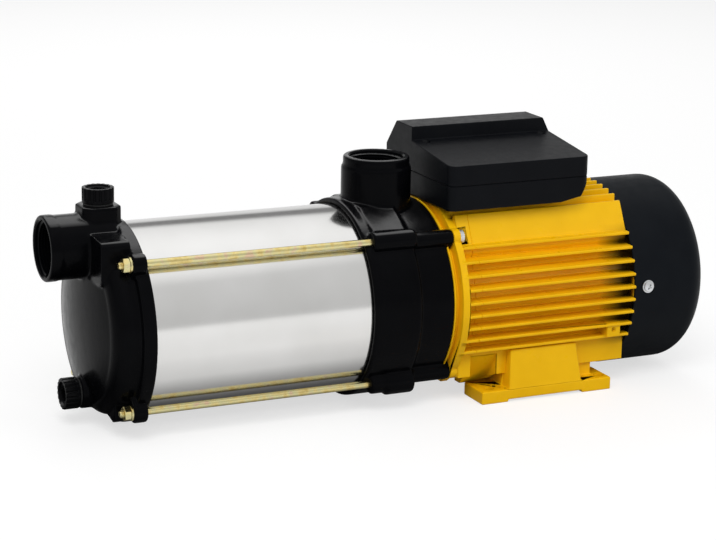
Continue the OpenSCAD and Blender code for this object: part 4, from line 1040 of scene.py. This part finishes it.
def makeCoverScrews():
    s = coverScrews
    low, high = nodeBox("fan_cover_screws")
    x = (low.x + high.x) / 2
    whole = bmesh.new()
    seat = fanCover["radius"]
    for i, angle in enumerate(s["angles"]):
        screw = panScrew(s["headRadius"], s["head"], s["shank"], seat + s["washer"] - s["root"], s["recess"],
                         s["recessWidth"])
        turn = Matrix.Rotation(math.radians(32 + 25 * i), 4, "Z")
        add(whole, screw, radially(x, seat + s["washer"], angle) @ turn)
        washer = turnedRing(s["washer"], s["washerRadius"], 2.2, 0.35, 64)
        add(whole, washer, radially(x, seat, angle))
    putOn(looseObject("fanCoverScrewSet", whole), "bright_zinc", replaces=["fan_cover_screws"], sharp=40)


# Castings and mouldings that keep the CAD's form, with their sharp edges rounded by the width given
softPieces = {
    "stator_housing": {"name": "housingCasting", "width": 0.6},
    "drive_end_shield": {"name": "driveShieldCasting", "width": 0.6},
    "motor_foot": {"name": "footCasting", "width": 1.1},
    "rear_end_shield": {"name": "rearShieldCasting", "width": 0.5},
    "cooling_fan": {"name": "fanWheel", "width": 0.4, "body": "rotor"},
    "terminal_block": {"name": "blockMoulding", "width": 0.4},
}


# The skirt beside the foot's gussets falls back from the lowest fin to the pad, on both sides
skirt = {"start": -67, "end": -43.5, "outline": [(63, -42.5), (60.8, -42.5), (43.5, -68.8), (63, -68.8)]}


def hollowSkirt(bm):
    s = skirt
    piece = looseObject("skirt", bm)
    for side in (-1, 1):
        hollow = prism([(-z, side * y) for y, z in s["outline"]], s["end"] - s["start"])
        hollow.transform(alongX(s["start"]))
        cut(piece, hollow)
    return shapeOf(piece)


def makeSoftPieces():
    for node, s in softPieces.items():
        shape = copyOf(node)
        if node == "stator_housing":
            shape = hollowSkirt(shape)
        piece = looseObject(s["name"], soften(shape, s["width"]))
        putOn(piece, slotOf[node], s.get("body", "root"), [node], 50, True)


# Terminal box: upright corners on the near side well rounded, all other edges broken
box = {"corner": 6.0, "edge": 0.9, "segments": 6}


def roundedBox(node):
    s = box
    low, high = nodeBox("terminal_box_lid")
    bm = copyOf(node)
    upward = []
    for e in bm.edges:
        a, b = e.verts[0].co, e.verts[1].co
        atEnd = min(abs(a.x - low.x), abs(a.x - high.x)) < 0.1
        atNear = abs(a.y - low.y) < 0.1 and abs(b.y - low.y) < 0.1
        if atEnd and atNear and abs(a.x - b.x) < 0.01 and abs(a.z - b.z) > 3:
            upward.append(e)
    roundEdges(bm, upward, s["corner"], s["segments"], False)
    return soften(bm, s["edge"])


def makeTerminalBox():
    for name, node in (("boxBaseMoulding", "terminal_box_base"), ("boxLidMoulding", "terminal_box_lid")):
        putOn(looseObject(name, roundedBox(node)), slotOf[node], replaces=[node], sharp=50, weighted=True)


# Screws and bolts whose heads are hexagons: flats, head height, and the radius of the shank
hexScrews = {
    "motor_bolts": {"name": "motorBoltSet", "flats": 10.0, "head": 4.0, "shank": 2.95, "circle": 75.5},
    "through_bolts": {"name": "throughBoltSet", "flats": 8.0, "head": 3.5, "shank": 2.45, "circle": 64.5},
}


def makeHexScrews():
    for node, s in hexScrews.items():
        low, high = nodeBox(node)
        whole = bmesh.new()
        for i, angle in enumerate(corners):
            screw = hexagon(s["flats"], s["head"], 0.0, False)
            screw.transform(upright(0, 0, high.x - low.x - s["head"])
                            @ Matrix.Rotation(math.radians(7 + 19 * i), 4, "Z"))
            add(screw, turnedRod(high.x - low.x - s["head"] + 0.2, s["shank"], 0.4, 40))
            add(whole, screw, atCorner(low.x, s["circle"], angle))
        putOn(looseObject(s["name"], whole), "bright_zinc", replaces=[node], sharp=30)


footScrews = {"places": [(-22, -13), (-22, 13), (22, -13), (22, 13)], "flats": 10.0, "head": 3.5,
              "shank": 2.95}


def makeFootScrews():
    s = footScrews
    low, high = nodeBox("foot_screws")
    whole = bmesh.new()
    for i, (x, y) in enumerate(s["places"]):
        head = hexagon(s["flats"], s["head"])
        add(head, turnedRod(high.z - low.z, s["shank"], 0.4, 40))
        add(whole, head, upright(x, y, low.z) @ Matrix.Rotation(math.radians(11 * i), 4, "Z"))
    putOn(looseObject("footScrewSet", whole), "bright_zinc", replaces=["foot_screws"], sharp=30)


# Lid screws: pan heads with a cross recess, two seated in the deck and two in the ridge
lidScrews = {"headRadius": 3.2, "head": 2.2, "shank": 1.55, "recess": 2.2, "recessWidth": 0.9,
             "places": [(-77, 5, 193), (27, 5, 193), (-77, 44, 197), (27, 44, 197)]}


def makeLidScrews():
    s = lidScrews
    low = nodeBox("lid_screws")[0]
    whole = bmesh.new()
    for i, (x, y, seat) in enumerate(s["places"]):
        screw = panScrew(s["headRadius"], s["head"], s["shank"], seat - low.z, s["recess"],
                         s["recessWidth"], 0.45)
        add(whole, screw, upright(x, y, seat) @ Matrix.Rotation(math.radians(20 + 31 * i), 4, "Z"))
    putOn(looseObject("lidScrewSet", whole), "bright_zinc", replaces=["lid_screws"], sharp=40)


# Cable gland: hexagon body and a ribbed dome nut round the bore
gland = {"flats": 19.0, "hexHeight": 6.0, "nut": 10.0, "nutRadius": 9.0, "ribs": 16, "ribDepth": 0.5,
         "bore": 4.5, "thread": 8.0}


def makeGland():
    s = gland
    low, high = nodeBox("cable_gland")
    face = high.y - s["nut"] - s["hexHeight"]
    whole = hexagon(s["flats"], s["hexHeight"], s["bore"])
    nut = prism(fluted(s["nutRadius"], s["ribs"], s["ribDepth"]), s["nut"] - 0.1, 0.9, 3)
    piece = looseObject("nut", nut)
    hole = [(-1, 0), (-1, s["bore"]), (s["nut"] - 1.5, s["bore"]), (s["nut"] + 1, s["bore"] + 1.6),
            (s["nut"] + 1, 0)]
    cut(piece, revolve(hole, 64, False))
    add(whole, shapeOf(piece), upright(0, 0, s["hexHeight"] + 0.1))
    add(whole, turnedRing(face - low.y, s["thread"], s["bore"], 0.3, 64), upright(0, 0, low.y - face))
    centre = ((low.x + high.x) / 2, face, (low.z + high.z) / 2)
    whole.transform(Matrix.Translation(centre) @ Matrix.Rotation(math.radians(-90), 4, "X"))
    putOn(looseObject("glandBody", whole), "gland_plastic", replaces=["cable_gland"], sharp=40)


makeSuctionCasing()
makeDischargeCasing()
makeTieRods()
makePlugs()
makeFanCover()
makeCoverScrews()
makeSoftPieces()
makeTerminalBox()
makeHexScrews()
makeFootScrews()
makeLidScrews()
makeGland()
